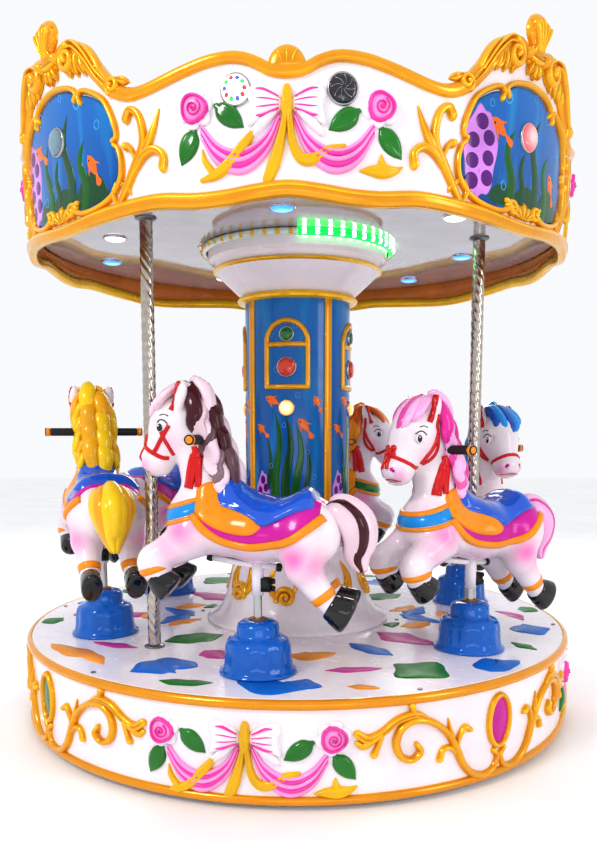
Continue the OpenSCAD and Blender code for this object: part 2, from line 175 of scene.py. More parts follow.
def gelcoat(name, colour, low=0.16, high=0.3, vary=0.1, ripple=0.12, coat=0.35):
    """Hand-painted, lacquered fibreglass: cloudy colour, small sags and uneven gloss."""
    look = Look(name, coat=coat, specular=0.32)
    cloud = look.mapped(look.noise(7.0), 0.3, 0.7)
    body = look.mix(cloud, scaled(colour, 1 - vary), scaled(colour, 1 + vary))
    grime = look.mapped(look.noise(34.0, 5.0), 0.62, 0.8)
    look.colour(look.mix(grime, body, scaled(colour, 1 - 1.6 * vary)))
    look.rough_over(22.0, low, high)
    look.bump(look.noise(16.0, 2.0), ripple, 0.004)
    return look.material


# Of the three colours, the first is a painted shade and the last a painted highlight.
def gold_paint(name, crevice_shade=rgb(128, 50, 2), body=rgb(224, 142, 4), edge=rgb(255, 206, 24)):
    """Metallic gold enamel: painted shade, brown in the crevices, and a painted highlight, bright along the
    ridges, both following pointiness; random patches are a little darker.
    """
    look = Look(name, metal=0.4, coat=0.5, specular=0.4)
    point = look.node("ShaderNodeNewGeometry").outputs["Pointiness"]
    # Painted shade: brown where pointiness says the mesh is concave.
    low = look.mix(look.mapped(point, 0.43, 0.495), crevice_shade, body)
    # Painted highlight: bright yellow where pointiness says the mesh is convex.
    bright = look.mix(look.mapped(point, 0.5, 0.57), low, edge)
    worn = look.mapped(look.noise(14.0, 2.0), 0.4, 0.75, 0.0, 0.35)
    look.colour(look.mix(worn, bright, scaled(body, 0.86)))
    look.rough_over(18.0, 0.16, 0.3)
    look.bump(look.noise(45.0, 2.0), 0.12, 0.0015)
    return look.material


def brushed_steel(name, colour=rgb(196, 196, 198), low=0.12, high=0.34, grain=(400, 400, 12)):
    look = Look(name, metal=1.0)
    stretch = look.node("ShaderNodeMapping")
    stretch.inputs["Scale"].default_value = grain
    look.link(look.place, stretch.inputs["Vector"])
    lines = look.node("ShaderNodeTexNoise", Scale=1.0, Detail=4.0)
    look.link(stretch.outputs["Vector"], lines.inputs["Vector"])
    streak = look.mapped(lines.outputs["Fac"], 0.3, 0.7)
    look.colour(look.mix(streak, scaled(colour, 0.82), colour))
    look.link(look.mapped(lines.outputs["Fac"], 0.3, 0.7, low, high), look.shader.inputs["Roughness"])
    look.bump(lines.outputs["Fac"], 0.12, 0.0004)
    return look.material


def matt_plastic(name, colour, low=0.4, high=0.6, speck=300.0):
    look = Look(name)
    look.colour(look.mix(look.mapped(look.noise(60.0), 0.3, 0.7), scaled(colour, 0.85),
                         scaled(colour, 1.15)))
    look.rough_over(80.0, low, high)
    look.bump(look.noise(speck, 2.0), 0.25, 0.0006)
    return look.material


def lens(name, colour, glow=0.0, hot=None):
    """Clear coloured lamp cap. A lit one glows hot in the middle, where paint attribute "core" is 1."""
    look = Look(name, rough=0.08, coat=1.0)
    core = look.painted("core")
    look.colour(look.mix(look.mapped(look.noise(90.0), 0.3, 0.7), scaled(colour, 0.8), colour))
    if glow:
        look.link(look.mix(core, colour, hot or (1, 1, 0.9, 1)), look.shader.inputs["Emission Color"])
        look.shader.inputs["Emission Strength"].default_value = glow
    look.bump(look.noise(160.0, 2.0), 0.1, 0.0008)
    return look.material


def two_paints(name, attribute, ground, paint, low=0.14, high=0.28):
    """Gelcoat with a second colour brushed or airbrushed where the mesh's attribute says."""
    look = Look(name, coat=0.4, specular=0.32)
    cloud = look.mapped(look.noise(9.0), 0.3, 0.7)
    base = look.mix(cloud, scaled(ground, 0.93), scaled(ground, 1.05))
    over = look.mix(cloud, scaled(paint, 0.9), scaled(paint, 1.1))
    look.colour(look.mix(look.painted(attribute), base, over))
    look.rough_over(24.0, low, high)
    look.bump(look.noise(18.0, 2.0), 0.12, 0.003)
    return look.material


WHITE = rgb(240, 234, 240)
PINK = rgb(238, 70, 178)
PALE_PINK = rgb(242, 160, 216)
MAGENTA = rgb(205, 12, 160)
GREEN = rgb(12, 118, 20)
YELLOW = rgb(232, 184, 8)
ORANGE = rgb(240, 150, 14)
RED = rgb(206, 8, 14)

GOLD = gold_paint("gold_enamel")
white_gel = gelcoat("white_gelcoat", WHITE, vary=0.04)
blue_gel = gelcoat("blue_gelcoat", rgb(0, 104, 196), low=0.06, high=0.16, coat=0.5, ripple=0.4)
pink_gel = gelcoat("pink_paint", PINK)
pale_pink_gel = gelcoat("pale_pink_paint", PALE_PINK)
magenta_gel = gelcoat("magenta_paint", MAGENTA)
green_gel = gelcoat("green_paint", GREEN, vary=0.25, coat=0.8)
yellow_gel = gelcoat("yellow_paint", YELLOW, vary=0.08)
orange_gel = gelcoat("orange_paint", ORANGE, vary=0.12)
red_gel = gelcoat("red_paint", RED, vary=0.12)
black_gel = gelcoat("black_paint", rgb(16, 16, 18), low=0.06, high=0.16, coat=0.9)
chrome = brushed_steel("bright_steel")
dull_steel = brushed_steel("dull_steel", rgb(140, 142, 146), 0.25, 0.45)
black_rubber = matt_plastic("black_rubber", rgb(24, 24, 26))

# ---- Mesh helpers ----


def mesh_object(name, points, faces, material, smooth=True):
    mesh = bpy.data.meshes.new(name)
    mesh.from_pydata([tuple(p) for p in points], [], faces)
    if smooth:
        mesh.shade_smooth()
    mesh.materials.append(material)
    ob = bpy.data.objects.new(name, mesh)
    bpy.context.scene.collection.objects.link(ob)
    return ob


def tidy_normals(ob):
    bm = bmesh.new()
    bm.from_mesh(ob.data)
    bmesh.ops.recalc_face_normals(bm, faces=bm.faces)
    bm.to_mesh(ob.data)
    bm.free()


def settle(ob, body, slot, *stands_for):
    """Hands a finished piece to the frame: its body, its finish (slot, which is not used), and the CAD nodes
    it stands for.
    """
    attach(ob, body)
    if stands_for:
        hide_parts(*stands_for)
    return ob


def rounded(points, per=6, closed=False):
    """A smooth curve through points of any dimension."""
    p = np.array(points, float)
    n = len(p)
    out = []
    for i in range(n if closed else n - 1):
        if closed:
            a, b, c, d = (p[(i + j) % n] for j in (-1, 0, 1, 2))
        else:
            b, c = p[i], p[i + 1]
            a = p[i - 1] if i else 2 * b - c
            d = p[i + 2] if i + 2 < n else 2 * c - b
        for j in range(per):
            t = j / per
            out.append(
                0.5 * (2 * b + (c - a) * t + (2 * a - 5 * b + 4 * c - d) * t**2
                       + (3 * b - a - 3 * c + d) * t**3)
            )
    if not closed:
        out.append(p[-1])
    return np.array(out)


def cylinder_surface(turn, r, side=1):
    """A wall round the axis: along is the arc from turn, up is the height."""
    return lambda along, up, out: turned(turn + side * degrees(along / r), r + out, up)


def deck_surface(along, up, out):
    """The deck: along is a direction in radians, up is the radius."""
    return (up * sin(along), -up * cos(along), DECK_Z + out)


class Relief:
    """Raised or painted ornament, laid on surfaces that turn (along, up, out) into a place."""

    def __init__(self):
        self.points = []
        self.faces = []
        self.surface = None

    def on(self, surface):
        self.surface = surface
        return self

    def loops(self, loops, closed=False):
        """Skins equal loops of (along, up, out) points and caps the ends of an open row."""
        start, n = len(self.points), len(loops[0])
        for loop in loops:
            self.points += [self.surface(*p) for p in loop]
        count = len(loops)
        for i in range(count if closed else count - 1):
            a, b = start + i * n, start + (i + 1) % count * n
            for j in range(n):
                k = (j + 1) % n
                self.faces.append((a + j, a + k, b + k, b + j))
        if not closed:
            self.faces.append(tuple(start + j for j in reversed(range(n))))
            self.faces.append(tuple(start + (count - 1) * n + j for j in range(n)))

    def band(self, path, across=8, closed=False, groove=0.0, per=6, flat=1.0, sunk=0.0015):
        """A ridge, ribbon or leaf along path, each point (along, up, half width, height)."""
        line = rounded(path, per, closed)
        n = len(line)
        ahead = np.roll(line, -1, 0) if closed else np.vstack([line[1:], line[-1:]])
        behind = np.roll(line, 1, 0) if closed else np.vstack([line[:1], line[:-1]])
        tangent = (ahead - behind)[:, :2]
        tangent /= np.maximum(np.linalg.norm(tangent, axis=1, keepdims=True), 1e-9)
        stations = [(line[i], tangent[i], 0.0, 1.0) for i in range(n)]
        if not closed:
            for end, sign in ((0, -1), (n - 1, 1)):
                caps = [(line[end], tangent[end], sign * sin(a), cos(a)) for a in (0.5, 1.0, 1.35, 1.54)]
                stations = caps[::-1] + stations if sign < 0 else stations + caps
        loops = []
        for p, t, reach, shrink in stations:
            w, h = max(p[2], 0.0004), max(p[3], 0.0002)
            cx, cz = p[0] + t[0] * w * reach, p[1] + t[1] * w * reach
            loop = []
            for j in range(across + 1):
                a = pi * j / across
                side = cos(a)
                rise = h * max(sin(a), 0) ** flat * (1 - groove * exp(-((side / 0.22) ** 2)))
                loop.append((cx - t[1] * w * side * shrink, cz + t[0] * w * side * shrink, rise * shrink))
            for side in (-1, 1):
                loop.append((cx - t[1] * w * side * shrink, cz + t[0] * w * side * shrink, -sunk))
            loops.append(loop)
        self.loops(loops, closed)
        return self

    def pad(self, outline, height, dish=0.0, power=2.0, per=5, sunk=0.0015, centre=None, smooth=True,
            curved_back=False):
        """A domed patch inside an outline of (along, up) points."""
        edge = rounded(outline, per, True) if smooth else np.array(outline, float)
        mid = np.array(centre) if centre else edge.mean(0)
        back = (0.02, 0.2, 0.4, 0.6, 0.8) if curved_back else ()
        loops = [[(*(mid + (p - mid) * t), -sunk) for p in edge] for t in (*back, 1.0)]
        for t in (1.0, 0.96, 0.88, 0.74, 0.55, 0.34, 0.14, 0.02):
            rise = height * (1 - t**power) ** 0.5 * (1 - dish * (1 - t) ** 2)
            loops.append([(*(mid + (p - mid) * t), rise) for p in edge])
        self.loops(loops)
        return self

    def disc(self, along, up, r, height, dish=0.0, power=2.0, sides=20):
        ring = [(along + r * cos(2 * pi * i / sides), up + r * sin(2 * pi * i / sides))
                for i in range(sides)]
        return self.pad(ring, height, dish, power, smooth=False)

    def make(self, name, material, slot, body="carousel", stands_for=()):
        ob = mesh_object(name, self.points, self.faces, material)
        tidy_normals(ob)
        return settle(ob, body, slot, *stands_for)


def spiral(along, up, r0, r1, a0, a1, w0, w1, h0, h1, steps=9):
    """Control points of a scroll. Radius, direction, half width and height each run from first to last."""
    out = []
    for i in range(steps):
        t = i / (steps - 1)
        r, a = r0 + (r1 - r0) * t, radians(a0 + (a1 - a0) * t)
        out.append((along + r * cos(a), up + r * sin(a), w0 + (w1 - w0) * t, h0 + (h1 - h0) * t))
    return out


def lathe(name, profile, material, steps=96, smooth=True, at=(0, 0, 0)):
    """A turned solid from a closed profile of (radius, height)."""
    n = len(profile)
    points, faces = [], []
    for i in range(steps):
        a = 2 * pi * i / steps
        points += [(at[0] + r * cos(a), at[1] + r * sin(a), at[2] + z) for r, z in profile]
    for i in range(steps):
        m = (i + 1) % steps
        for j in range(n):
            k = (j + 1) % n
            faces.append((i * n + j, m * n + j, m * n + k, i * n + k))
    ob = mesh_object(name, points, faces, material, smooth)
    bm = bmesh.new()
    bm.from_mesh(ob.data)
    bmesh.ops.remove_doubles(bm, verts=bm.verts, dist=1e-6)
    bmesh.ops.recalc_face_normals(bm, faces=bm.faces)
    bm.to_mesh(ob.data)
    bm.free()
    return ob


def joined(name, parts):
    """One object from several with the same material."""
    bm = bmesh.new()
    for ob in parts:
        bm.from_mesh(ob.data)
    first = parts[0]
    bm.to_mesh(first.data)
    bm.free()
    for ob in parts[1:]:
        bpy.data.objects.remove(ob)
    first.name = name
    first.data.name = name
    return first


# ---- Stage: camera, light and floor ----

FOCAL_PX = 798.2
FRAME_LONG_PX = 842
SENSOR = 36
CAMERA_PLACE = (0, -3.048, 1.028)
CAMERA_TILT = 83.36
CAMERA_SHIFT = (0.0012, 0.121)
SKY_COLOUR, SKY_STRENGTH = (0.97, 0.98, 1, 1), 0.8
EXPOSURE, GAMMA = 0.3, 0.82
FLOOR_HALF = 14
# Name, place, point aimed at, size, power and colour
LIGHTS = (("key", (-2.8, -3.4, 3.8), (0, 0, 0.9), (1.1, 1.1), 62, (1, 1, 1)),
          ("fill", (3.4, -2.8, 2.0), (0, 0, 0.8), (1.0, 2.0), 20, (1, 0.97, 0.93)),
          ("low_front", (0.4, -4.2, 0.9), (0, 0, 0.8), (2.4, 0.5), 6, (1, 1, 1)),
          ("back", (0.5, 4.2, 3.0), (0, 0, 1.2), (2.5, 1.5), 50, (1, 1, 1)))


def make_camera():
    data = bpy.data.cameras.new("camera")
    data.sensor_width = SENSOR
    data.lens = SENSOR * FOCAL_PX / FRAME_LONG_PX
    data.shift_x, data.shift_y = CAMERA_SHIFT
    cam = bpy.data.objects.new("camera", data)
    cam.location = CAMERA_PLACE
    cam.rotation_euler = (radians(CAMERA_TILT), 0, 0)
    bpy.context.scene.collection.objects.link(cam)
    bpy.context.scene.camera = cam


def area_light(name, place, target, size, power, colour):
    data = bpy.data.lights.new(name, "AREA")
    data.shape = "RECTANGLE"
    data.size, data.size_y = size
    data.energy = power
    data.color = colour
    ob = bpy.data.objects.new(name, data)
    ob.location = place
    ob.rotation_euler = (Vector(target) - Vector(place)).to_track_quat("-Z", "Y").to_euler()
    bpy.context.scene.collection.objects.link(ob)


def make_stage():
    world = bpy.data.worlds.new("studio")
    world.use_nodes = True
    sky = world.node_tree.nodes["Background"]
    sky.inputs["Color"].default_value = SKY_COLOUR
    sky.inputs["Strength"].default_value = SKY_STRENGTH
    bpy.context.scene.world = world
    for light in LIGHTS:
        area_light(*light)
    look = Look("pale_floor", rough=0.6)
    look.colour(look.mix(look.mapped(look.noise(2.0), 0.3, 0.7), rgb(246, 246, 246), rgb(252, 252, 252)))
    corners = [(x * FLOOR_HALF, y * FLOOR_HALF, 0) for x, y in ((-1, -1), (1, -1), (1, 1), (-1, 1))]
    mesh_object("floor", corners, [(0, 1, 2, 3)], look.material, smooth=False)
    view = bpy.context.scene.view_settings
    view.view_transform = "Standard"
    view.look = "None"
    view.exposure = EXPOSURE
    view.gamma = GAMMA


# ---- The carried-over CAD nodes ----


def dress(node, material):
    ob = nodes[node]
    if not ob.material_slots:
        ob.data.materials.append(material)
    for s in ob.material_slots:
        s.material = material


def dress_frame():
    frame_paint = matt_plastic("dark_frame_paint", rgb(58, 60, 64), 0.35, 0.5)
    machine_blue = gelcoat("machine_blue", rgb(84, 100, 120), 0.3, 0.5, coat=0.1)
    bronze = brushed_steel("bronze_bush", rgb(176, 128, 66), 0.3, 0.5)
    looks = {
        frame_paint: ("ground_frame", "turntable_frame", "canopy_frame"),
        black_rubber: ("levelling_feet", "slip_ring", "power_inlet"),
        dull_steel: ("slewing_inner_ring", "crank_track", "drive_pinion", "slewing_outer_gear",
                     "column_mast",
                     "deck_screws"),
        machine_blue: ("gearmotor", "control_box", "crank_bearings"),
        bronze: ("guide_bushes",),
        white_gel: ("drum_shell", "ceiling_cover"),
        GOLD: ("drum_beads", "cover_rings"),
    }
    for material, names in looks.items():
        for name in names:
            dress(name, material)
    dress("ceiling", gelcoat("glossy_ceiling", rgb(176, 172, 182), 0.03, 0.09, vary=0.1, ripple=0.16,
                             coat=1.0))
    dress("roof_panel", gelcoat("roof_gelcoat", rgb(214, 212, 216), 0.25, 0.4, vary=0.05))
    dress("column_shell", sea_paint("sea_column", 0.6, 1.5))
    for k in SEATS:
        dress(f"crankshaft_{k + 1}", dull_steel)
        dress(f"lift_rod_{k + 1}", chrome)
        dress(f"handlebar_{k + 1}", matt_plastic(f"grip_{k + 1}", rgb(20, 20, 22), 0.25, 0.4))


def sea_paint(name, low_z, high_z):
    """Brushed blue sea: darker towards the bottom, with paler streaks of light that run down it."""
    look = Look(name, coat=0.3, specular=0.35)
    split = look.node("ShaderNodeSeparateXYZ")
    look.link(look.place, split.inputs[0])
    depth = look.mapped(split.outputs["Z"], low_z, high_z)
    deep = look.mix(depth, rgb(0, 78, 152), rgb(0, 116, 196))
    stretch = look.node("ShaderNodeMapping")
    stretch.inputs["Scale"].default_value = (14, 14, 2.2)
    look.link(look.place, stretch.inputs["Vector"])
    streaks = look.node("ShaderNodeTexNoise", Scale=1.0, Detail=3.0)
    look.link(stretch.outputs["Vector"], streaks.inputs["Vector"])
    light = look.mapped(streaks.outputs["Fac"], 0.52, 0.78, 0.0, 0.8)
    look.colour(look.mix(light, deep, rgb(20, 160, 216)))
    look.rough_over(24.0, 0.1, 0.24)
    look.bump(look.noise(20.0, 2.0), 0.15, 0.003)
    return look.material


# ---- Ornament shared by the drum and the crown ----

ROSE_R = 0.045


def rose(white, pink, pale, along, up, r=ROSE_R):
    """Open rose: white ruffled petals round a pink-lipped cup with a rolled heart."""
    for i in range(6):
        a = radians(60 * i + 18)
        white.disc(along + 0.68 * r * cos(a), up + 0.68 * r * sin(a), 0.46 * r, 0.012, dish=0.4, power=3)
    pale.disc(along, up, 0.82 * r, 0.018, power=3)
    cup = [(along + 0.72 * r * (1 + 0.07 * cos(3 * a)) * cos(a),
            up + 0.72 * r * (1 + 0.07 * cos(3 * a)) * sin(a), 0.12 * r, 0.0215)
           for a in (2 * pi * i / 18 for i in range(18))]
    pink.band(cup, closed=True, across=6, per=2)
    pink.band(spiral(along, up, 0.46 * r, 0.04 * r, 60, -560, 0.075 * r, 0.08 * r, 0.022, 0.029, steps=18),
              per=3)


BOW_LOOP = ((0.014, 0.014), (0.045, 0.036), (0.086, 0.047), (0.101, 0.024), (0.094, -0.006), (0.1, -0.05),
            (0.06, -0.034), (0.014, -0.014))


def bow(white, pink, yellow, up):
    """Two white loops striped with pink inside, white ends under them, a yellow knot and two yellow tails."""
    for side in (-1, 1):
        white.pad([(side * x, up + z) for x, z in BOW_LOOP], 0.019, power=4)
        white.band([(side * 0.03, up - 0.02, 0.006, 0.02), (side * 0.06, up - 0.042, 0.013, 0.02),
                    (side * 0.088, up - 0.066, 0.01, 0.012)],
                   groove=0.3)
        for z0, z1, width in ((0.014, 0.033, 0.0048), (0.004, 0.01, 0.0042), (-0.005, -0.01, 0.0042),
                              (-0.013, -0.03, 0.0048)):
            pink.band([(side * 0.02, up + z0, 0.0012, 0.0185),
                       (side * 0.036, up + z0 + 0.4 * (z1 - z0), width * 0.7, 0.0215),
                       (side * 0.058, up + z0 + 0.9 * (z1 - z0), width, 0.0215),
                       (side * 0.076, up + z1, width * 0.5, 0.0205)])
    yellow.band([(0, up + 0.036, 0.011, 0.018), (0, up, 0.0165, 0.028), (0, up - 0.036, 0.013, 0.02)],
                groove=0.25)
    yellow.band([(-0.004, up - 0.03, 0.008, 0.02), (-0.018, up - 0.09, 0.013, 0.018),
                 (-0.034, up - 0.14, 0.017, 0.014), (-0.05, up - 0.176, 0.014, 0.008)], groove=0.3)
    yellow.band([(0.006, up - 0.03, 0.008, 0.022), (0.014, up - 0.09, 0.011, 0.02),
                 (0.036, up - 0.128, 0.014, 0.018), (0.07, up - 0.128, 0.016, 0.018),
                 (0.103, up - 0.108, 0.012, 0.016), (0.146, up - 0.096, 0.006, 0.009)],
                groove=0.3)


def swag(pink, pale, side, up):
    """Draped cloth in four folds, from the bow to a rose."""
    line = [(0.02, 0.0, 0.5), (0.05, -0.058, 0.8), (0.095, -0.094, 1.0), (0.14, -0.1, 1.0),
            (0.185, -0.076, 0.9), (0.222, -0.026, 0.6)]
    folds = ((pale, -0.026, 0.009, 0.011), (pink, -0.013, 0.0075, 0.015), (pale, -0.001, 0.0085, 0.017),
             (pink, 0.0105, 0.0055, 0.0165), (pale, 0.0195, 0.007, 0.013))
    for relief, shift, width, height in folds:
        relief.band([(side * x, up + z + shift * f, width * f, height * f) for x, z, f in line])


def leaf(relief, along, up, turn, length=0.088, width=0.026):
    a = radians(turn)
    stations = ((0, 0.3, 0.006), (0.2, 0.88, 0.013), (0.48, 1.0, 0.016), (0.76, 0.7, 0.012),
                (1.0, 0.08, 0.004))
    relief.band([(along + cos(a) * length * t, up + sin(a) * length * t, width * w, h)
                 for t, w, h in stations],
                groove=0.45)


def ribbon_end(yellow, side, up):
    """The swag's ribbon: a long forked sweep on the left, a short winged one on the right."""
    if side < 0:
        yellow.band([(-0.082, up + 0.026, 0.005, 0.01), (-0.106, up - 0.006, 0.013, 0.019),
                     (-0.146, up - 0.05, 0.016, 0.02), (-0.186, up - 0.078, 0.013, 0.016),
                     (-0.226, up - 0.09, 0.006, 0.009)], groove=0.3)
        yellow.band([(-0.222, up - 0.016, 0.002, 0.006), (-0.216, up - 0.044, 0.008, 0.013),
                     (-0.196, up - 0.072, 0.01, 0.013)])
    else:
        yellow.band([(0.19, up - 0.072, 0.003, 0.006), (0.218, up - 0.07, 0.013, 0.014),
                     (0.252, up - 0.07, 0.018, 0.018), (0.284, up - 0.066, 0.011, 0.013),
                     (0.304, up - 0.056, 0.003, 0.006)], groove=0.3)
        yellow.band([(0.246, up - 0.03, 0.002, 0.006), (0.246, up - 0.046, 0.009, 0.013),
                     (0.252, up - 0.066, 0.013, 0.013)])


LEAF_TURNS = {-1: (-38, -116), 1: (-148, -50)}
LEAF_DROP = {-1: -0.004, 1: 0.012}
ROSE_ALONG = 0.24
ORNAMENT_PAINTS = ("white", "pink", "pale", "yellow", "green")


def garland(reliefs, surface, up, swag_up):
    """One bow with its swags, roses, leaves and ribbon ends."""
    white, pink, pale, yellow, green = (reliefs[c].on(surface) for c in ORNAMENT_PAINTS)
    for side in (-1, 1):
        swag(pink, pale, side, swag_up)
        rose(white, pink, pale, side * ROSE_ALONG, up)
        near, far = LEAF_TURNS[side]
        leaf(green, side * 0.182, up - LEAF_DROP[side], near)
        leaf(green, side * 0.244, up - 0.05, far)
        ribbon_end(yellow, side, swag_up - 0.054)
    bow(white, pink, yellow, up)


def make_ornament(prefix, reliefs):
    materials = (white_gel, pink_gel, pale_pink_gel, yellow_gel, green_gel)
    for c, material in zip(ORNAMENT_PAINTS, materials):
        reliefs[c].make(f"{prefix}_{c}_ornament", material, "white_gelcoat")


# ---- Drum ----

OVAL_UP = 0.185
OVAL_HALF = (0.044, 0.076)
DRUM_ROSE_Z, DRUM_SWAG_Z = 0.203, 0.175


def drum_scroll(gold):
    """Half of the gold scrollwork between a bow and an oval; along counts from the bow."""
    gold.band([(0.752, 0.098, 0.009, 0.014), (0.766, 0.078, 0.009, 0.013), (0.75, 0.045, 0.01, 0.014),
               (0.71, 0.034, 0.011, 0.015), (0.665, 0.05, 0.012, 0.016), (0.631, 0.085, 0.012, 0.018),
               (0.604, 0.14, 0.012, 0.018), (0.57, 0.19, 0.011, 0.018), (0.52, 0.226, 0.011, 0.018),
               (0.466, 0.236, 0.012, 0.018), (0.428, 0.215, 0.012, 0.018), (0.415, 0.175, 0.012, 0.018),
               (0.43, 0.138, 0.011, 0.018), (0.462, 0.125, 0.01, 0.018), (0.487, 0.145, 0.011, 0.02),
               (0.477, 0.167, 0.008, 0.018)], across=10)
    gold.band([(0.525, 0.226, 0.006, 0.012), (0.475, 0.252, 0.011, 0.017), (0.42, 0.243, 0.012, 0.018),
               (0.375, 0.212, 0.012, 0.017), (0.335, 0.196, 0.014, 0.016), (0.305, 0.212, 0.012, 0.014)],
               groove=0.3)
    gold.band([(0.37, 0.206, 0.01, 0.014), (0.345, 0.19, 0.011, 0.015), (0.322, 0.176, 0.011, 0.013),
               (0.305, 0.186, 0.008, 0.01)])
    gold.band([(0.372, 0.2, 0.008, 0.013), (0.36, 0.168, 0.009, 0.014), (0.352, 0.15, 0.011, 0.016)])
    gold.band([(0.49, 0.238, 0.007, 0.012), (0.468, 0.256, 0.009, 0.015), (0.46, 0.28, 0.011, 0.018)])
    gold.band([(0.596, 0.13, 0.006, 0.01), (0.59, 0.17, 0.009, 0.016), (0.583, 0.198, 0.006, 0.012),
               (0.578, 0.226, 0.002, 0.006)])
    gold.band([(0.604, 0.125, 0.006, 0.01), (0.616, 0.168, 0.008, 0.015), (0.634, 0.192, 0.009, 0.016),
               (0.652, 0.183, 0.01, 0.018)])
    gold.band([(0.612, 0.115, 0.006, 0.01), (0.585, 0.14, 0.008, 0.014), (0.56, 0.138, 0.009, 0.015),
               (0.55, 0.112, 0.01, 0.017)])


def oval_ring(half, up, grow, count=28):
    return [((half[0] + grow) * cos(2 * pi * i / count), up + (half[1] + grow) * sin(2 * pi * i / count))
            for i in range(count)]


def drum_ornament():
    reliefs = {c: Relief() for c in (*ORNAMENT_PAINTS, "gold")}
    ovals = [Relief(), Relief()]
    for k in QUARTERS:
        surface = cylinder_surface(BOW_TURN + 90 * k, DRUM_R)
        garland(reliefs, surface, DRUM_ROSE_Z, DRUM_SWAG_Z)
        for side in (-1, 1):
            drum_scroll(reliefs["gold"].on(cylinder_surface(BOW_TURN + 90 * k, DRUM_R, side)))
        oval_place = cylinder_surface(BOW_TURN + 45 + 90 * k, DRUM_R)
        ovals[k % 2].on(oval_place).pad(oval_ring(OVAL_HALF, OVAL_UP, 0.002), 0.009, smooth=False)
        rim = [(x, z, 0.0085, 0.015) for x, z in oval_ring(OVAL_HALF, OVAL_UP, 0.0, 24)]
        reliefs["gold"].on(oval_place).band(rim, closed=True, per=3)
    make_ornament("drum", reliefs)
    reliefs["gold"].make("drum_scrollwork", GOLD, "gold_paint")
    ovals[0].make("drum_pink_ovals", magenta_gel, "white_gelcoat")
    ovals[1].make("drum_green_ovals", green_gel, "white_gelcoat")


# Brush strokes on the deck: direction and radius along each, then the widest half width
STROKES = {
    "magenta": [([(47, 0.39), (46, 0.5), (47, 0.64)], 0.045),
                ([(6.5, 0.73), (13, 0.735), (20, 0.747)], 0.02),
                ([(-60, 0.8), (-54, 0.75), (-48, 0.71)], 0.02),
                ([(-31, 0.59), (-26, 0.61), (-21, 0.64)], 0.035),
                ([(-94, 0.6), (-90, 0.63), (-86, 0.66)], 0.03),
                ([(84, 0.86), (90, 0.84), (95, 0.79)], 0.02)],
    "orange": [([(-3, 0.56), (4, 0.57), (13, 0.545)], 0.035),
               ([(9, 0.885), (12, 0.9), (14.5, 0.92)], 0.016),
               ([(-63, 0.93), (-56, 0.9), (-49, 0.87), (-42, 0.89)], 0.03),
               ([(-70, 0.5), (-76, 0.45), (-80, 0.37)], 0.028),
               ([(64, 0.42), (70, 0.47), (78, 0.5)], 0.03), ([(84, 0.56), (90, 0.58), (97, 0.56)], 0.03)],
    "green": [([(20, 0.84), (27, 0.81), (34, 0.77)], 0.062),
              ([(61, 0.83), (59, 0.88), (57.5, 0.93)], 0.018),
              ([(-26, 0.91), (-21, 0.9), (-16, 0.875)], 0.022),
              ([(-49, 0.6), (-46, 0.5), (-41, 0.4)], 0.05),
              ([(-87, 0.9), (-84, 0.93), (-81, 0.92)], 0.03), ([(60, 0.4), (66, 0.38), (72, 0.4)], 0.02)],
    "blue": [([(23, 0.45), (26, 0.55), (28.5, 0.64)], 0.03), ([(-3, 0.84), (1, 0.86), (4.5, 0.88)], 0.035),
             ([(-34, 0.89), (-32, 0.81), (-29, 0.76), (-24, 0.75)], 0.06),
             ([(74, 0.8), (75, 0.87), (77, 0.94)], 0.055),
             ([(-74, 0.53), (-84, 0.46), (-96, 0.41)], 0.03), ([(92, 0.4), (84, 0.46), (76, 0.55)], 0.03),
             ([(-12, 0.83), (-5, 0.885), (3, 0.875)], 0.042), ([(45, 0.84), (42, 0.9), (48, 0.93)], 0.045)],
}
STROKE_H = 0.0008
STROKE_SPREAD = 1.45


def stroke(relief, places, half_width):
    """A daub of paint with a wavering edge and round ends; places are (direction, radius)."""
    rows = []
    for i, (turn, r) in enumerate(places):
        swell = (0.45, 1.0, 0.8, 0.5)[i % 4] if i < len(places) - 1 else 0.4
        rows.append((radians(turn), r, half_width * swell, STROKE_H))
    line = rounded(rows, 8)
    left, right = [], []
    for i, p in enumerate(line):
        q = line[min(i + 1, len(line) - 1)] - line[max(i - 1, 0)]
        d = np.array((q[0] * p[1], q[1]))
        d /= np.linalg.norm(d)
        waver = 1 + 0.14 * sin(0.75 * i + 40 * places[0][1])
        t = i / (len(line) - 1)
        w = p[2] * waver * sqrt(max(1 - abs(2 * t - 1) ** 2.6, 0.01))
        left.append((p[0] - d[1] * w / p[1], p[1] + d[0] * w))
        right.append((p[0] + d[1] * w / p[1], p[1] - d[0] * w))
    start = len(relief.points)
    rows = [(left, 0.0), (left, STROKE_H), (line[:, :2], STROKE_H * 1.5), (right, STROKE_H), (right, 0.0)]
    n = len(line)
    for edge, out in rows:
        shrink = 0.94 if out == STROKE_H else 1.0
        for p, m in zip(edge, line):
            along = m[0] + (p[0] - m[0]) * shrink
            up = m[1] + (p[1] - m[1]) * shrink
            relief.points.append(deck_surface(along, up, out if out else -0.001))
    for j in range(len(rows)):
        k = (j + 1) % len(rows)
        for i in range(n - 1):
            a, b = start + j * n + i, start + k * n + i
            relief.faces.append((a, a + 1, b + 1, b))
    relief.faces.append(tuple(start + j * n for j in range(len(rows))))
    relief.faces.append(tuple(start + j * n + n - 1 for j in reversed(range(len(rows)))))


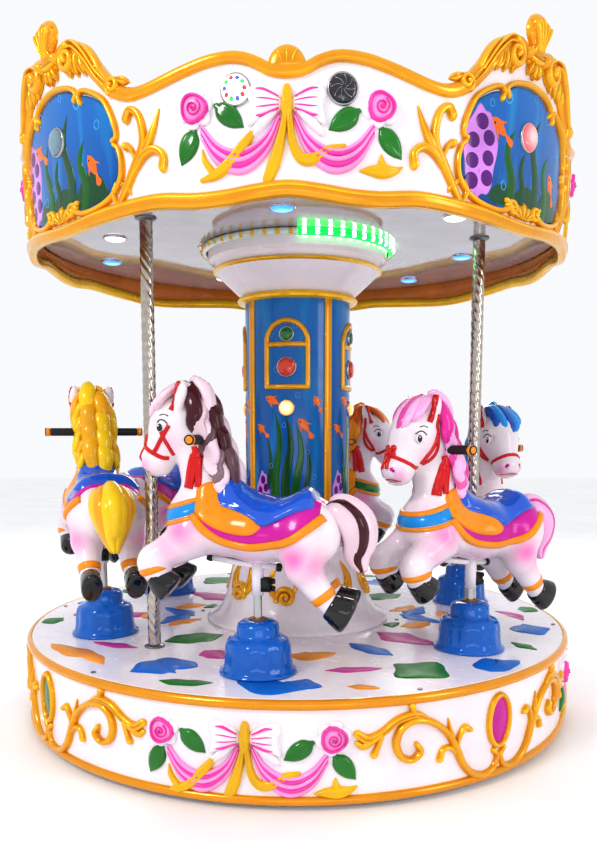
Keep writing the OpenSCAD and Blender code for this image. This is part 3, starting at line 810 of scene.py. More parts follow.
def deck_paint():
    tones = {"magenta": rgb(196, 60, 150), "orange": rgb(240, 156, 30), "green": rgb(8, 120, 20),
             "blue": rgb(10, 110, 200)}
    paints = {c: gelcoat(f"deck_{c}_paint", tone, low=0.3, high=0.45, vary=0.14, ripple=0.05, coat=0.0)
              for c, tone in tones.items()}
    for name, strokes in STROKES.items():
        relief = Relief().on(deck_surface)
        for places, half_width in strokes:
            for turned_by in (0, 180):
                stroke(relief, [(turn + turned_by, r) for turn, r in places], STROKE_SPREAD * half_width)
        relief.make(f"deck_{name}_strokes", paints[name], "white_gelcoat")


RIBS, RIB_DEPTH, RIB_MIN_R = 12, 0.055, 0.045
FOOT_SPREAD = 0.03


def pedestals():
    """Blue bells under the lift rods, poured rather than turned: the wall sags in and the foot spreads."""
    profile = [(0.0205, 0.0), (0.114, 0.0), (0.118, 0.003), (0.117, 0.007), (0.11, 0.011), (0.105, 0.018),
               (0.102, 0.034), (0.1005, 0.055), (0.0995, 0.075), (0.0965, 0.09), (0.09, 0.1),
               (0.077, 0.107), (0.067, 0.111), (0.0635, 0.118), (0.0635, 0.136), (0.06, 0.147),
               (0.051, 0.1535), (0.038, 0.1565), (0.0225, 0.158), (0.0205, 0.157)]
    parts = []
    for k in SEATS:
        x, y, _ = turned(seat_turn(k), HORSE_RING_R, 0)
        ob = lathe(f"bell_{k}", profile, blue_gel, 72)
        for v in ob.data.vertices:
            a = atan2(v.co.y, v.co.x)
            z = v.co.z
            wall = exp(-(((z - 0.06) / 0.035) ** 2))
            foot = exp(-((z / 0.012) ** 2))
            ribs = RIB_DEPTH * wall * (0.5 + 0.5 * cos(RIBS * a + k)) ** 2
            spread = FOOT_SPREAD * foot * (0.5 + 0.5 * sin(3 * a + 2 * k))
            if hypot(v.co.x, v.co.y) > RIB_MIN_R:
                v.co.x *= 1 - ribs - spread
                v.co.y *= 1 - ribs - spread
            v.co += Vector((x, y, DECK_Z))
        parts.append(ob)
    settle(joined("pedestal_bells", parts), "carousel", "blue_gelcoat", "pedestals")


# ---- Column ----

FRAME_HALF_W = 0.075
FRAME_LOW, FRAME_BAR, FRAME_TOP = 1.18, 1.328, 1.41


def column_mouldings():
    gold = Relief()
    for k in QUARTERS:
        strip = gold.on(cylinder_surface(COLUMN_TURN + 45 + 90 * k, COLUMN_R))
        strip.band([(0, COLUMN_LOW_Z + 0.004, 0.014, 0.008), (0, 1.0, 0.014, 0.009),
                    (0, COLUMN_TOP_Z - 0.004, 0.014, 0.008)],
                   flat=0.35, per=20)
        frame_at = gold.on(cylinder_surface(COLUMN_TURN + 90 * k, COLUMN_R))
        spring = FRAME_TOP - FRAME_HALF_W
        arch = [(FRAME_HALF_W * cos(radians(a)), spring + FRAME_HALF_W * sin(radians(a)))
                for a in range(0, 181, 12)]
        outline = [(FRAME_HALF_W, FRAME_LOW), (FRAME_HALF_W, (FRAME_LOW + spring) / 2), *arch,
                   (-FRAME_HALF_W, (FRAME_LOW + spring) / 2), (-FRAME_HALF_W, FRAME_LOW)]
        frame_at.band([(x, z, 0.009, 0.0095) for x, z in outline], flat=0.6, per=4)
        frame_at.band([(x, FRAME_LOW, 0.009, 0.0095) for x in (-FRAME_HALF_W, -0.03, 0.03, FRAME_HALF_W)],
                      flat=0.6)
        frame_at.band([(x, FRAME_BAR, 0.009, 0.009) for x in (-FRAME_HALF_W, -0.03, 0.03, FRAME_HALF_W)],
                      flat=0.6)
    gold.make("column_gold_mouldings", GOLD, "gold_paint", stands_for=("column_mouldings",))


def lamp_dome(relief, along, up, r, height):
    """A faceted cap: rings of flats that step up to a small crown."""
    steps = ((1.0, 0.0), (1.0, 0.35), (0.93, 0.62), (0.8, 0.8), (0.6, 0.92), (0.36, 0.98), (0.12, 1.0))
    sides = 16
    loops = [[(along + r * cos(2 * pi * i / sides), up + r * sin(2 * pi * i / sides), -0.001)
              for i in range(sides)]]
    for j, (t, h) in enumerate(steps):
        twist = j % 2 * pi / sides
        loops.append([(along + r * t * cos(2 * pi * i / sides + twist),
                       up + r * t * sin(2 * pi * i / sides + twist),
                       height * h) for i in range(sides)])
    relief.loops(loops)


def lit_lamp(name, surface, r, height, material, along=0.0, up=0.0, stands_for=()):
    """One lamp cap, whose attribute "core" fades out from the middle of its top."""
    relief = Relief().on(surface)
    lamp_dome(relief, along, up, r, height)
    ob = mesh_object(name, relief.points, relief.faces, material, smooth=False)
    tidy_normals(ob)
    middle = Vector(surface(along, up, height))
    core = ob.data.attributes.new("core", "FLOAT", "POINT")
    core.data.foreach_set("value", [max(0.0, min(1.0, 1.25 - (v.co - middle).length / r))
                                    for v in ob.data.vertices])
    return settle(ob, "carousel", "lamp_cap", *stands_for)


def bezel(relief, along, up, r, height):
    ring = [(along + r * cos(2 * pi * i / 20), up + r * sin(2 * pi * i / 20), 0.0035, height)
            for i in range(20)]
    relief.band(ring, closed=True, per=2, across=6)


def column_lamps():
    green = lens("column_green_lamp", rgb(10, 120, 40))
    red = lens("column_red_lamp", rgb(235, 60, 14))
    lit = lens("column_lit_lamp", rgb(255, 96, 24), 2.2, (1, 0.9, 0.35, 1))
    clear = Relief()
    lamps = ((1.363, 0.022, 0.014, green), (1.249, 0.031, 0.018, red), (1.106, 0.025, 0.017, lit))
    for k in QUARTERS:
        surface = cylinder_surface(COLUMN_TURN + 90 * k, COLUMN_R)
        for i, (z, r, h, material) in enumerate(lamps):
            lit_lamp(f"column_lamp_{k + 1}_{i + 1}", surface, r, h, material, 0, z,
                     stands_for=("column_lamps",) if k == i == 0 else ())
            bezel(clear.on(surface), 0, z, r + 0.002, 0.006)
    clear.make("column_lamp_bezels", chrome, "lamp_cap")


PAINT_H = 0.0007


def seaweed(relief, along, low, high, sway, half_width, turns=1.6):
    rows = []
    for i in range(9):
        t = i / 8
        w = half_width * (1 - t) ** 0.45 if t < 1 else 0.0006
        rows.append((along + sway * sin(turns * 2 * pi * t) * (0.4 + 0.6 * t), low + (high - low) * t, w,
                     PAINT_H))
    relief.band(rows, across=4, per=4)


def fish(orange, dark, along, up, size, turn):
    """Body, tail and fins as daubs of paint, with a dark eye."""
    a = radians(turn)

    def at(x, z):
        return (along + size * (x * cos(a) - z * sin(a)), up + size * (x * sin(a) + z * cos(a)))

    def daub(*stations):
        orange.band([(*at(x, z), w * size, PAINT_H * 1.6) for x, z, w in stations], across=6, per=4)

    daub((0.5, 0, 0.04), (0.36, 0, 0.16), (0.1, 0, 0.22), (-0.16, 0, 0.13), (-0.32, 0, 0.05),
         (-0.46, 0.02, 0.1), (-0.6, 0.04, 0.16))
    daub((0.12, 0.18, 0.04), (-0.02, 0.3, 0.03), (-0.12, 0.34, 0.005))
    daub((0.1, -0.18, 0.05), (-0.04, -0.3, 0.03), (-0.12, -0.36, 0.005))
    x, z = at(0.34, 0.05)
    dark.disc(x, z, 0.05 * size, PAINT_H * 3.4, sides=10)


def coral(pale, purple, along, up, width, height):
    """A fan of pale coral with purple cells."""
    outline = [(along + width * cos(a) * (1 + 0.1 * sin(5 * a)),
                up + height * sin(a) * (1 + 0.07 * cos(7 * a)))
               for a in (2 * pi * i / 18 for i in range(18))]
    pale.pad(outline, PAINT_H * 1.4)
    for row in range(4):
        z = up - height * 0.66 + row * height * 0.44
        count = 2 - row % 2 if row in (0, 3) else 2
        for i in range(count):
            x = along + width * (i - (count - 1) / 2) * 0.86
            z_here = z + (i % 2) * height * 0.12
            cell = [(x + width * 0.4 * cos(a), z_here + height * 0.2 * sin(a))
                    for a in (2 * pi * j / 9 + row for j in range(9))]
            purple.pad(cell, PAINT_H * 2.4)


def bubble(relief, along, up, r):
    ring = [(along + r * cos(2 * pi * i / 12), up + 1.2 * r * sin(2 * pi * i / 12), r * 0.17, PAINT_H * 1.2)
            for i in range(12)]
    relief.band(ring, closed=True, per=2, across=4)


SEA_COLOURS = {"weed": rgb(4, 98, 26), "dark_weed": rgb(2, 78, 40), "fish": rgb(242, 118, 10),
               "eye": rgb(40, 14, 10),
               "coral": rgb(206, 138, 222), "cell": rgb(92, 14, 122), "bubble": rgb(70, 160, 220)}


def sea_reliefs():
    return {c: Relief() for c in SEA_COLOURS}


def make_sea(prefix, reliefs, slot):
    for c, relief in reliefs.items():
        material = bpy.data.materials.get(f"sea_{c}")
        if not material:
            material = gelcoat(f"sea_{c}", SEA_COLOURS[c], vary=0.18, low=0.12, high=0.26)
        relief.make(f"{prefix}_{c}", material, slot)


def column_sea():
    reliefs = sea_reliefs()
    low = COLUMN_LOW_Z + 0.004
    for k in QUARTERS:
        surface = cylinder_surface(COLUMN_TURN + 90 * k, COLUMN_R)
        s = {c: r.on(surface) for c, r in reliefs.items()}
        for along, high, sway, width, weed in ((-0.07, 1.0, 0.010, 0.016, "dark_weed"),
                                               (-0.036, 1.09, 0.013, 0.021, "weed"),
                                               (0.004, 1.08, 0.012, 0.023, "dark_weed"),
                                               (0.042, 1.05, 0.012, 0.02, "weed"),
                                               (0.074, 0.98, 0.009, 0.015, "dark_weed")):
            seaweed(s[weed], along, low, high, sway, width)
        fish(s["fish"], s["eye"], -0.05, 1.13, 0.066, 155)
        fish(s["fish"], s["eye"], 0.066, 1.04, 0.068, 128)
        fish(s["fish"], s["eye"], -0.1, 1.03, 0.055, 140)
        fish(s["fish"], s["eye"], 0.112, 1.125, 0.05, 118)
        coral(s["coral"], s["cell"], -0.096, 0.79, 0.03, 0.088)
        coral(s["coral"], s["cell"], 0.104, 0.71, 0.026, 0.07)
        for along, up, r in ((0.04, 1.15, 0.008), (-0.01, 1.045, 0.007), (0.075, 0.95, 0.007),
                             (-0.04, 1.24, 0.008), (0.03, 1.39, 0.007), (-0.055, 1.36, 0.006),
                             (0.1, 0.86, 0.008), (-0.06, 0.9, 0.007)):
            bubble(s["bubble"], along, up, r)
    make_sea("column_sea", reliefs, "column_paint")


PLINTH_PROFILE = ((0.348, 0.0), (0.348, 0.008), (0.342, 0.013), (0.33, 0.018), (0.3, 0.038), (0.276, 0.078),
                  (0.256, 0.138), (0.241, 0.2), (0.223, 0.258), (0.214, 0.272), (0.205, 0.286),
                  (0.198, 0.288))


PLINTH_WRAP_R = 0.25


def plinth_r(z):
    rise = [p[1] for p in PLINTH_PROFILE]
    return float(np.interp(z - DECK_Z, rise, [p[0] for p in PLINTH_PROFILE]))


def plinth_surface(turn, side=1):
    return lambda along, up, out: turned(turn + side * degrees(along / PLINTH_WRAP_R), plinth_r(up) + out,
                                         up)


def plinth():
    """White moulded foot of the column, with soft ribs at its corners and gold scrolls."""
    inner = [(r - 0.008, z) for r, z in reversed(PLINTH_PROFILE[:-1])]
    ob = lathe("plinth_moulding", list(PLINTH_PROFILE) + inner, white_gel, 128)
    for v in ob.data.vertices:
        a = atan2(v.co.x, -v.co.y) - radians(COLUMN_TURN + 22)
        t = max(0.0, min(1.0, v.co.z / 0.28))
        rib = max(0.0, cos(4 * a)) ** 6 * sin(pi * t) * 0.007
        f = 1 + rib / max(hypot(v.co.x, v.co.y), 0.1)
        v.co = (v.co.x * f, v.co.y * f, v.co.z + DECK_Z)
    settle(ob, "carousel", "white_gelcoat", "plinth")
    gold = Relief()
    for i in range(8):
        turn = -9.5 + 45 * i
        for side in (-1, 1) if i % 2 else (1,):
            s = gold.on(plinth_surface(turn, side))
            s.band(spiral(0, 0.436, 0.034, 0.006, 200, -340, 0.0105, 0.008, 0.012, 0.016, steps=18), per=4)
            s.band([(-0.03, 0.43, 0.009, 0.01), (-0.052, 0.455, 0.011, 0.012), (-0.058, 0.5, 0.009, 0.011),
                    (-0.04, 0.54, 0.006, 0.006)], groove=0.3)
            s.band([(0.03, 0.455, 0.006, 0.008), (0.045, 0.5, 0.01, 0.011), (0.032, 0.55, 0.004, 0.005)],
                   groove=0.3)
    gold.make("plinth_gold_scrolls", GOLD, "gold_paint", stands_for=("plinth_scrolls",))


# ---- Handrail poles ----


def handrail_poles():
    """Twisted stainless tubes: the round is pinched into shallow flutes that wind up the pole."""
    pitch, flutes, depth = 0.17, 5, 0.0016
    parts = []
    step, sides = 0.005, 40
    rows = int((CEILING_Z - DECK_Z) / step)
    for k in range(3):
        x, y, _ = turned(POLE_TURN + 120 * k, POLE_RING_R, 0)
        points, faces = [], []
        for i in range(rows + 1):
            z = DECK_Z + (CEILING_Z - DECK_Z) * i / rows
            ends = min(1.0, min(i, rows - i) / 16)
            for j in range(sides):
                a = 2 * pi * j / sides
                r = POLE_R - depth * ends * (0.5 + 0.5 * cos(flutes * (a + 2 * pi * z / pitch))) ** 2
                points.append((x + r * cos(a), y + r * sin(a), z))
        for i in range(rows):
            for j in range(sides):
                m = (j + 1) % sides
                faces.append((i * sides + j, i * sides + m, (i + 1) * sides + m, (i + 1) * sides + j))
        parts.append(mesh_object(f"pole_{k}", points, faces, chrome))
    ob = joined("twisted_handrails", parts)
    ob.data.materials[0] = brushed_steel("twisted_stainless", rgb(200, 192, 184), 0.1, 0.24, (60, 60, 60))
    settle(ob, "carousel", "stainless", "handrail_poles")
    cups = []
    for k in range(3):
        x, y, _ = turned(POLE_TURN + 120 * k, POLE_RING_R, 0)
        foot = [(POLE_R + 0.0002, 0.0), (0.033, 0.0), (0.034, 0.002), (0.0325, 0.0045), (0.027, 0.007),
                (0.0225, 0.01),
                (POLE_R + 0.0002, 0.0105)]
        cups.append(lathe(f"cup_{k}", foot, dull_steel, 40, at=(x, y, DECK_Z)))
        cups.append(lathe(f"cap_{k}", [(r, -z) for r, z in foot], dull_steel, 40, at=(x, y, CEILING_Z)))
    settle(joined("handrail_cups", cups), "carousel", "stainless", "pole_flanges")


# ---- Crown ----

CROWN_TOP = ((0, 1.924), (2.5, 1.93), (5, 1.951), (8, 1.964), (12, 1.96), (16, 1.945), (24, 1.914),
             (28.5, 1.932), (32, 1.985), (35, 2.04), (37.5, 2.074), (40, 2.088), (42.5, 2.076), (45, 2.05))
CROWN_LOW = ((0, 1.621), (5, 1.613), (10, 1.602), (15, 1.6), (22, 1.609), (32, 1.6), (45, 1.587))
CROWN_ARC_R = 0.95
WALL_OUT = 0.002
PEAK_TURN = CROWN_BOW_TURN + 45
CROWN_ROSE_Z, CROWN_SWAG_Z = 1.838, 1.81


def from_bow(turn):
    return abs((turn - CROWN_BOW_TURN + 45) % 90 - 45)


def edge_height(table, turn):
    line = rounded([(-table[1][0], table[1][1]), *table, (90 - table[-2][0], table[-2][1])], 8)
    return float(np.interp(from_bow(turn), line[:, 0], line[:, 1]))


def wall_r(z):
    return CROWN_R + CROWN_LEAN * (z - CROWN_Z)


def crown_surface(turn, side=1, lift=0.0):
    return lambda along, up, out: turned(turn + side * degrees(along / CROWN_ARC_R),
                                         wall_r(up) + WALL_OUT + lift + out, up)


def crown_wall():
    steps, rows, inner_rows, thick = 288, 16, 6, 0.009
    points, faces, inside = [], [], []
    for i in range(steps):
        turn = 360 * i / steps
        low, top = edge_height(CROWN_LOW, turn) + 0.004, edge_height(CROWN_TOP, turn) - 0.006
        for j in range(rows):
            z = low + (top - low) * j / (rows - 1)
            points.append(turned(turn, wall_r(z) + WALL_OUT, z))
        for j in range(inner_rows):
            z = top - (top - low) * j / (inner_rows - 1)
            points.append(turned(turn, wall_r(z) + WALL_OUT - thick, z))
    n = rows + inner_rows
    for i in range(steps):
        m = (i + 1) % steps
        for j in range(n):
            k = (j + 1) % n
            faces.append((i * n + j, m * n + j, m * n + k, i * n + k))
            inside.append(j >= rows - 1)
    ob = mesh_object("crown_wall", points, faces, white_gel)
    ob.data.materials.append(gelcoat("crown_lining", rgb(206, 118, 20), 0.2, 0.35))
    ob.data.polygons.foreach_set("material_index", [int(v) for v in inside])
    tidy_normals(ob)
    settle(ob, "carousel", "white_gelcoat", "crown_shell")


EDGE_START = 198


def crown_edges(gold):
    steps = 288
    top, low = [], []
    for i in range(steps + 1):
        turn = EDGE_START + 360 * i / steps
        d = from_bow(turn)
        along = radians(turn) * CROWN_ARC_R
        w = float(np.interp(d, (0, 24, 28, 31, 35, 40, 43, 45),
                            (0.0145, 0.0145, 0.019, 0.022, 0.025, 0.02, 0.018, 0.018)))
        top.append((along, edge_height(CROWN_TOP, turn) - 0.85 * w, w, 0.010 + 0.35 * w))
        w = float(np.interp(d, (0, 20, 32, 45), (0.02, 0.02, 0.019, 0.016)))
        low.append((along, edge_height(CROWN_LOW, turn) + 0.9 * w, w, 0.016))
    gold.on(crown_surface(0)).band(top, per=1, across=10, sunk=0.011, flat=0.7)
    gold.band(low, per=1, across=10, sunk=0.011, flat=0.6)
    ridge = [(a, z + 0.35 * w, 0.3 * w, h + 0.003) for a, z, w, h in low]
    gold.band(ridge, per=1, across=6)


def lobe(gold, start, end, width, height, bend=0.0, groove=0.35):
    """One acanthus lobe from start to end, bent sideways by a share of its length."""
    (x0, z0), (x1, z1) = start, end
    dx, dz = x1 - x0, z1 - z0
    rows = []
    for t, w, h in ((0, 0.45, 0.7), (0.3, 0.85, 1.0), (0.6, 1.0, 1.0), (0.85, 0.75, 0.8), (1.0, 0.3, 0.45)):
        b = bend * sin(pi * t)
        rows.append((x0 + dx * t - dz * b, z0 + dz * t + dx * b, width * w, height * h))
    gold.band(rows, groove=groove)


BUD_OUTLINE = ((0, 2.166), (0.02, 2.161), (0.035, 2.148), (0.046, 2.126), (0.043, 2.104), (0.031, 2.086),
               (0.025, 2.07), (0.031, 2.05), (0, 2.04))


def crest(gold, turn):
    """Budded finial on a peak. To both sides the edge rolls into a volute with fluted leaf under it."""
    s = gold.on(crown_surface(turn, lift=0.004))
    s.pad([*BUD_OUTLINE, *((-x, z) for x, z in reversed(BUD_OUTLINE[1:-1]))], 0.026, power=3)
    for i in (-2, -1, 0, 1, 2):
        s.band([(0.005 * i, 2.066, 0.005, 0.026), (0.0105 * i, 2.098, 0.0075, 0.0335),
                (0.017 * i, 2.13 - 0.002 * abs(i), 0.008, 0.034),
                (0.019 * i, 2.152 - 0.008 * abs(i), 0.003, 0.022)])
    s.band([(-0.045, 2.052, 0.008, 0.018), (0, 2.042, 0.014, 0.03), (0.045, 2.052, 0.008, 0.018)],
           groove=0.3)
    for i in (-1, 0, 1):
        lobe(s, (0.012 * i, 2.04), (0.026 * i, 1.998 + 0.008 * abs(i)), 0.011, 0.02)
    for side in (-1, 1):
        g = gold.on(crown_surface(turn, side, 0.004))
        g.disc(0.042, 2.052, 0.017, 0.03)
        g.band(spiral(0.098, 2.036, 0.036, 0.006, 95, 560, 0.0115, 0.01, 0.02, 0.03, steps=17), per=4)
        for i in range(5):
            lobe(g, (0.12 + 0.016 * i, 2.062 - 0.012 * i), (0.098 + 0.032 * i, 1.992 - 0.004 * i), 0.0125,
                 0.019, -0.14)
        g.band([(0.14, 2.066, 0.006, 0.014), (0.176, 2.036, 0.014, 0.022), (0.208, 1.992, 0.015, 0.021),
                (0.222, 1.955, 0.008, 0.014), (0.226, 1.93, 0.002, 0.006)], groove=0.35)
        for shift in (0.0, 0.015):
            g.band([(0.105, 2.074 - shift, 0.003, 0.024), (0.135, 2.068 - shift, 0.0055, 0.028),
                    (0.175, 2.03 - shift, 0.006, 0.027), (0.215, 1.976 - shift, 0.0045, 0.024),
                    (0.25, 1.94 - shift, 0.002, 0.02)])


def cartouche(gold, turn):
    """Broken scroll frame round a painted medallion."""
    gold.on(crown_surface(turn)).band([(-0.104, 1.928, 0.007, 0.015), (-0.114, 1.946, 0.008, 0.016),
                                       (-0.078, 1.968, 0.0085, 0.016), (0, 1.979, 0.009, 0.017),
                                       (0.078, 1.968, 0.0085, 0.016), (0.114, 1.946, 0.008, 0.016),
                                       (0.104, 1.928, 0.007, 0.015)])
    for i in (-2, -1, 0, 1, 2):
        lobe(gold, (0.012 * i, 1.628), (0.03 * i, 1.668 - 0.009 * abs(i)), 0.0115, 0.018)
    for side in (-1, 1):
        g = gold.on(crown_surface(turn, side))
        g.band([(0.13, 1.918, 0.009, 0.016), (0.126, 1.936, 0.007, 0.015), (0.142, 1.946, 0.008, 0.016),
                (0.184, 1.93, 0.0085, 0.016), (0.226, 1.9, 0.0085, 0.016), (0.255, 1.845, 0.0085, 0.016),
                (0.262, 1.808, 0.007, 0.014), (0.25, 1.796, 0.008, 0.016)])
        g.band([(0.254, 1.786, 0.008, 0.016), (0.268, 1.772, 0.008, 0.015), (0.276, 1.735, 0.0085, 0.016),
                (0.268, 1.694, 0.0085, 0.016), (0.234, 1.658, 0.0085, 0.016), (0.18, 1.638, 0.0085, 0.016),
                (0.115, 1.632, 0.009, 0.016), (0.07, 1.646, 0.01, 0.018), (0.086, 1.664, 0.008, 0.016)])
        g.band(spiral(0.06, 1.644, 0.022, 0.006, 20, 400, 0.008, 0.007, 0.016, 0.02, steps=11), per=4)
        lobe(g, (0.262, 1.69), (0.3, 1.655), 0.009, 0.014, 0.1)


def sprig(gold, turn, side):
    """Three-branch gold leaf between a rose and a medallion."""
    g = gold.on(crown_surface(turn, side))
    g.band([(0.495, 1.622, 0.008, 0.012), (0.462, 1.666, 0.011, 0.016), (0.425, 1.722, 0.013, 0.018),
            (0.397, 1.77, 0.012, 0.018), (0.398, 1.82, 0.011, 0.018), (0.412, 1.852, 0.011, 0.018),
            (0.434, 1.862, 0.011, 0.018), (0.447, 1.842, 0.012, 0.02)],
           groove=0.2)
    g.band([(0.42, 1.722, 0.008, 0.014), (0.388, 1.762, 0.012, 0.017), (0.362, 1.806, 0.009, 0.014),
            (0.343, 1.852, 0.002, 0.006)],
           groove=0.25)
    g.band([(0.428, 1.71, 0.009, 0.015), (0.396, 1.744, 0.012, 0.018), (0.362, 1.756, 0.012, 0.018),
            (0.336, 1.738, 0.011, 0.018), (0.338, 1.708, 0.012, 0.02)], groove=0.2)
    g.band([(0.42, 1.735, 0.007, 0.012), (0.436, 1.766, 0.008, 0.014), (0.452, 1.776, 0.012, 0.019)])
    g.band([(0.49, 1.628, 0.006, 0.01), (0.505, 1.66, 0.009, 0.014), (0.497, 1.69, 0.004, 0.008)])


def edge_curls(gold, turn, side):
    g = gold.on(crown_surface(turn, side, 0.006))
    g.band(spiral(0.48, 1.928, 0.022, 0.005, -30, 400, 0.009, 0.007, 0.014, 0.022, steps=13), per=4)
    lobe(g, (0.47, 1.945), (0.43, 1.93), 0.011, 0.016)


def medallion_outline():
    half = [(0, 1.974), (0.06, 1.968), (0.1, 1.95), (0.116, 1.938), (0.15, 1.934), (0.2, 1.91),
            (0.236, 1.878), (0.254, 1.835), (0.256, 1.796), (0.268, 1.74), (0.258, 1.7), (0.228, 1.666),
            (0.18, 1.645), (0.11, 1.636), (0, 1.634)]
    return half + [(-x, z) for x, z in reversed(half[1:-1])]


PANEL_H = 0.004


def medallions():
    panel = Relief()
    reliefs = sea_reliefs()
    for k in QUARTERS:
        turn = PEAK_TURN + 90 * k
        panel.on(crown_surface(turn)).pad(medallion_outline(), PANEL_H, power=60, centre=(0, 1.8), per=4,
                                          curved_back=True)
        s = {c: r.on(crown_surface(turn, lift=PANEL_H)) for c, r in reliefs.items()}
        for along, low, high, sway, width, weed in ((-0.075, 1.655, 1.85, 0.02, 0.021, "weed"),
                                                    (-0.015, 1.65, 1.8, 0.012, 0.019, "dark_weed"),
                                                    (0.05, 1.65, 1.905, 0.022, 0.023, "dark_weed"),
                                                    (0.12, 1.655, 1.82, 0.018, 0.021, "weed")):
            seaweed(s[weed], along, low, high, sway, width, 1.1)
        for along, width, high in ((-0.1, 0.06, 1.7), (0.02, 0.08, 1.712), (0.15, 0.07, 1.73)):
            s["dark_weed"].pad([(along - width, 1.66), (along - width * 0.4, high),
                                (along + width * 0.5, high - 0.006),
                                (along + width, 1.664), (along, 1.648)], PAINT_H * 0.7)
        fish(s["fish"], s["eye"], -0.125, 1.842, 0.082, 150)
        fish(s["fish"], s["eye"], 0.165, 1.745, 0.075, 120)
        coral(s["coral"], s["cell"], -0.198, 1.77, 0.062, 0.115)
        for along, up, r in ((-0.1, 1.93, 0.014), (0.11, 1.925, 0.014), (-0.165, 1.9, 0.008),
                             (-0.1, 1.7, 0.01), (0.19, 1.85, 0.01), (0.03, 1.955, 0.008)):
            bubble(s["bubble"], along, up, r)
    panel.make("crown_medallion_panels", sea_paint("sea_panel", 1.62, 2.0), "white_gelcoat")
    make_sea("crown_sea", reliefs, "white_gelcoat")


def crown():
    crown_wall()
    reliefs = {c: Relief() for c in ORNAMENT_PAINTS}
    gold = Relief()
    crests = Relief()
    crown_edges(gold)
    for k in QUARTERS:
        turn = CROWN_BOW_TURN + 90 * k
        garland(reliefs, crown_surface(turn), CROWN_ROSE_Z, CROWN_SWAG_Z)
        hump = crests.on(crown_surface(turn, lift=-0.004))
        hump.pad([(0.05 * cos(a), 1.925 + (0.052 if sin(a) > 0 else 0.012) * sin(a))
                  for a in (2 * pi * i / 16 for i in range(16))], 0.02,
                 power=3)
        for i in (-1, 0, 1):
            hump.band([(0.012 * i, 1.93, 0.003, 0.02), (0.019 * i, 1.95, 0.0045, 0.0225),
                       (0.026 * i, 1.965 - 0.004 * abs(i), 0.002, 0.017)])
        for side in (-1, 1):
            sprig(gold, turn, side)
            edge_curls(gold, turn, side)
        cartouche(crests, PEAK_TURN + 90 * k)
        crest(crests, PEAK_TURN + 90 * k)
    make_ornament("crown", reliefs)
    gold.make("crown_gold_edges", GOLD, "gold_paint")
    crests.make("crown_gold_crests", GOLD, "gold_paint", stands_for=("crown_crests",))
    medallions()


# ---- Canopy lamps ----

LAMP_R = 0.035
CROWN_LAMP_Z = 1.876
LIT_LAMP_ALONG, DARK_LAMP_ALONG = -0.131, 0.141
MEDALLION_LAMP_Z = 1.845
FACETS = 10
CEILING_LAMPS = ((0.575, -4.6, "blue"), (0.659, -73.6, "clear"), (0.764, -106, "blue"),
                 (0.674, 46.9, "clear"), (0.769, 140, "blue"), (0.64, -150, "clear"), (0.64, 100, "blue"),
                 (0.34, -81.6, "pink"))


def ceiling_surface(turn, r):
    x, y, _ = turned(turn, r, 0)
    return lambda along, up, out: (x + along, y + up, CEILING_Z - out)


def spoked_lamp(rays, surface, along, up):
    for i in range(8):
        a = 2 * pi * i / 8
        path = [(along + LAMP_R * t * cos(a + 0.9 * t), up + LAMP_R * t * sin(a + 0.9 * t), 0.0011,
                 0.0175 - 0.005 * t * t)
                for t in (0.15, 0.4, 0.65, 0.85)]
        rays.on(surface).band(path, across=4, per=3)


def canopy_lamps():
    lenses = {"blue": lens("ceiling_blue_lamp", rgb(10, 100, 255), 2.0, rgb(110, 190, 255)),
              "clear": lens("ceiling_clear_lamp", rgb(235, 240, 250), 1.6),
              "pink": lens("ceiling_pink_lamp", rgb(255, 90, 200), 1.6)}
    lit = lens("crown_lit_lamp", rgb(250, 225, 225), 1.5, (1, 1, 1, 1))
    dark = lens("crown_dark_lamp", rgb(18, 18, 34))
    red = lens("medallion_lit_lamp", rgb(228, 20, 40), 1.5, rgb(255, 170, 170))
    clear = lens("medallion_clear_lamp", rgb(120, 150, 165))
    rings, rays, facets = Relief(), Relief(), (Relief(), Relief(), Relief())
    for i, (r, turn, tone) in enumerate(CEILING_LAMPS):
        size = LAMP_R if tone != "pink" else 0.02
        surface = ceiling_surface(turn, r)
        stands_for = ("canopy_lamps",) if i == 0 else ()
        lit_lamp(f"ceiling_lamp_{i + 1}", surface, size, 0.012, lenses[tone], stands_for=stands_for)
        bezel(rings.on(surface), 0, 0, size + 0.003, 0.005)
    for k in QUARTERS:
        surface = crown_surface(CROWN_BOW_TURN + 90 * k)
        for n, (along, material) in enumerate(((LIT_LAMP_ALONG, lit), (DARK_LAMP_ALONG, dark))):
            lit_lamp(f"crown_lamp_{k + 1}_{n + 1}", surface, LAMP_R, 0.016, material, along, CROWN_LAMP_Z)
            bezel(rings.on(surface), along, CROWN_LAMP_Z, LAMP_R + 0.002, 0.007)
        for i in range(FACETS):
            a = 2 * pi * i / FACETS
            x, z = LIT_LAMP_ALONG + 0.7 * LAMP_R * cos(a), CROWN_LAMP_Z + 0.7 * LAMP_R * sin(a)
            facets[i % 3].on(surface).disc(x, z, 0.0088, 0.0185, sides=6)
        spoked_lamp(rays, surface, DARK_LAMP_ALONG, CROWN_LAMP_Z)
        surface = crown_surface(PEAK_TURN + 90 * k, lift=PANEL_H)
        lit_lamp(f"crown_lamp_{k + 1}_3", surface, LAMP_R, 0.018, clear if k % 2 else red, 0,
                 MEDALLION_LAMP_Z)
        bezel(rings.on(surface), 0, MEDALLION_LAMP_Z, LAMP_R + 0.002, 0.007)
    rings.make("canopy_lamp_bezels", chrome, "lamp_cap")
    rays.make("crown_lamp_rays", white_gel, "lamp_cap")
    for i, tone in enumerate((rgb(236, 40, 40), rgb(30, 190, 90), rgb(60, 90, 240))):
        facets[i].make(f"crown_lamp_facets_{i + 1}", lens(f"facet_{i + 1}", tone, 0.8), "lamp_cap")


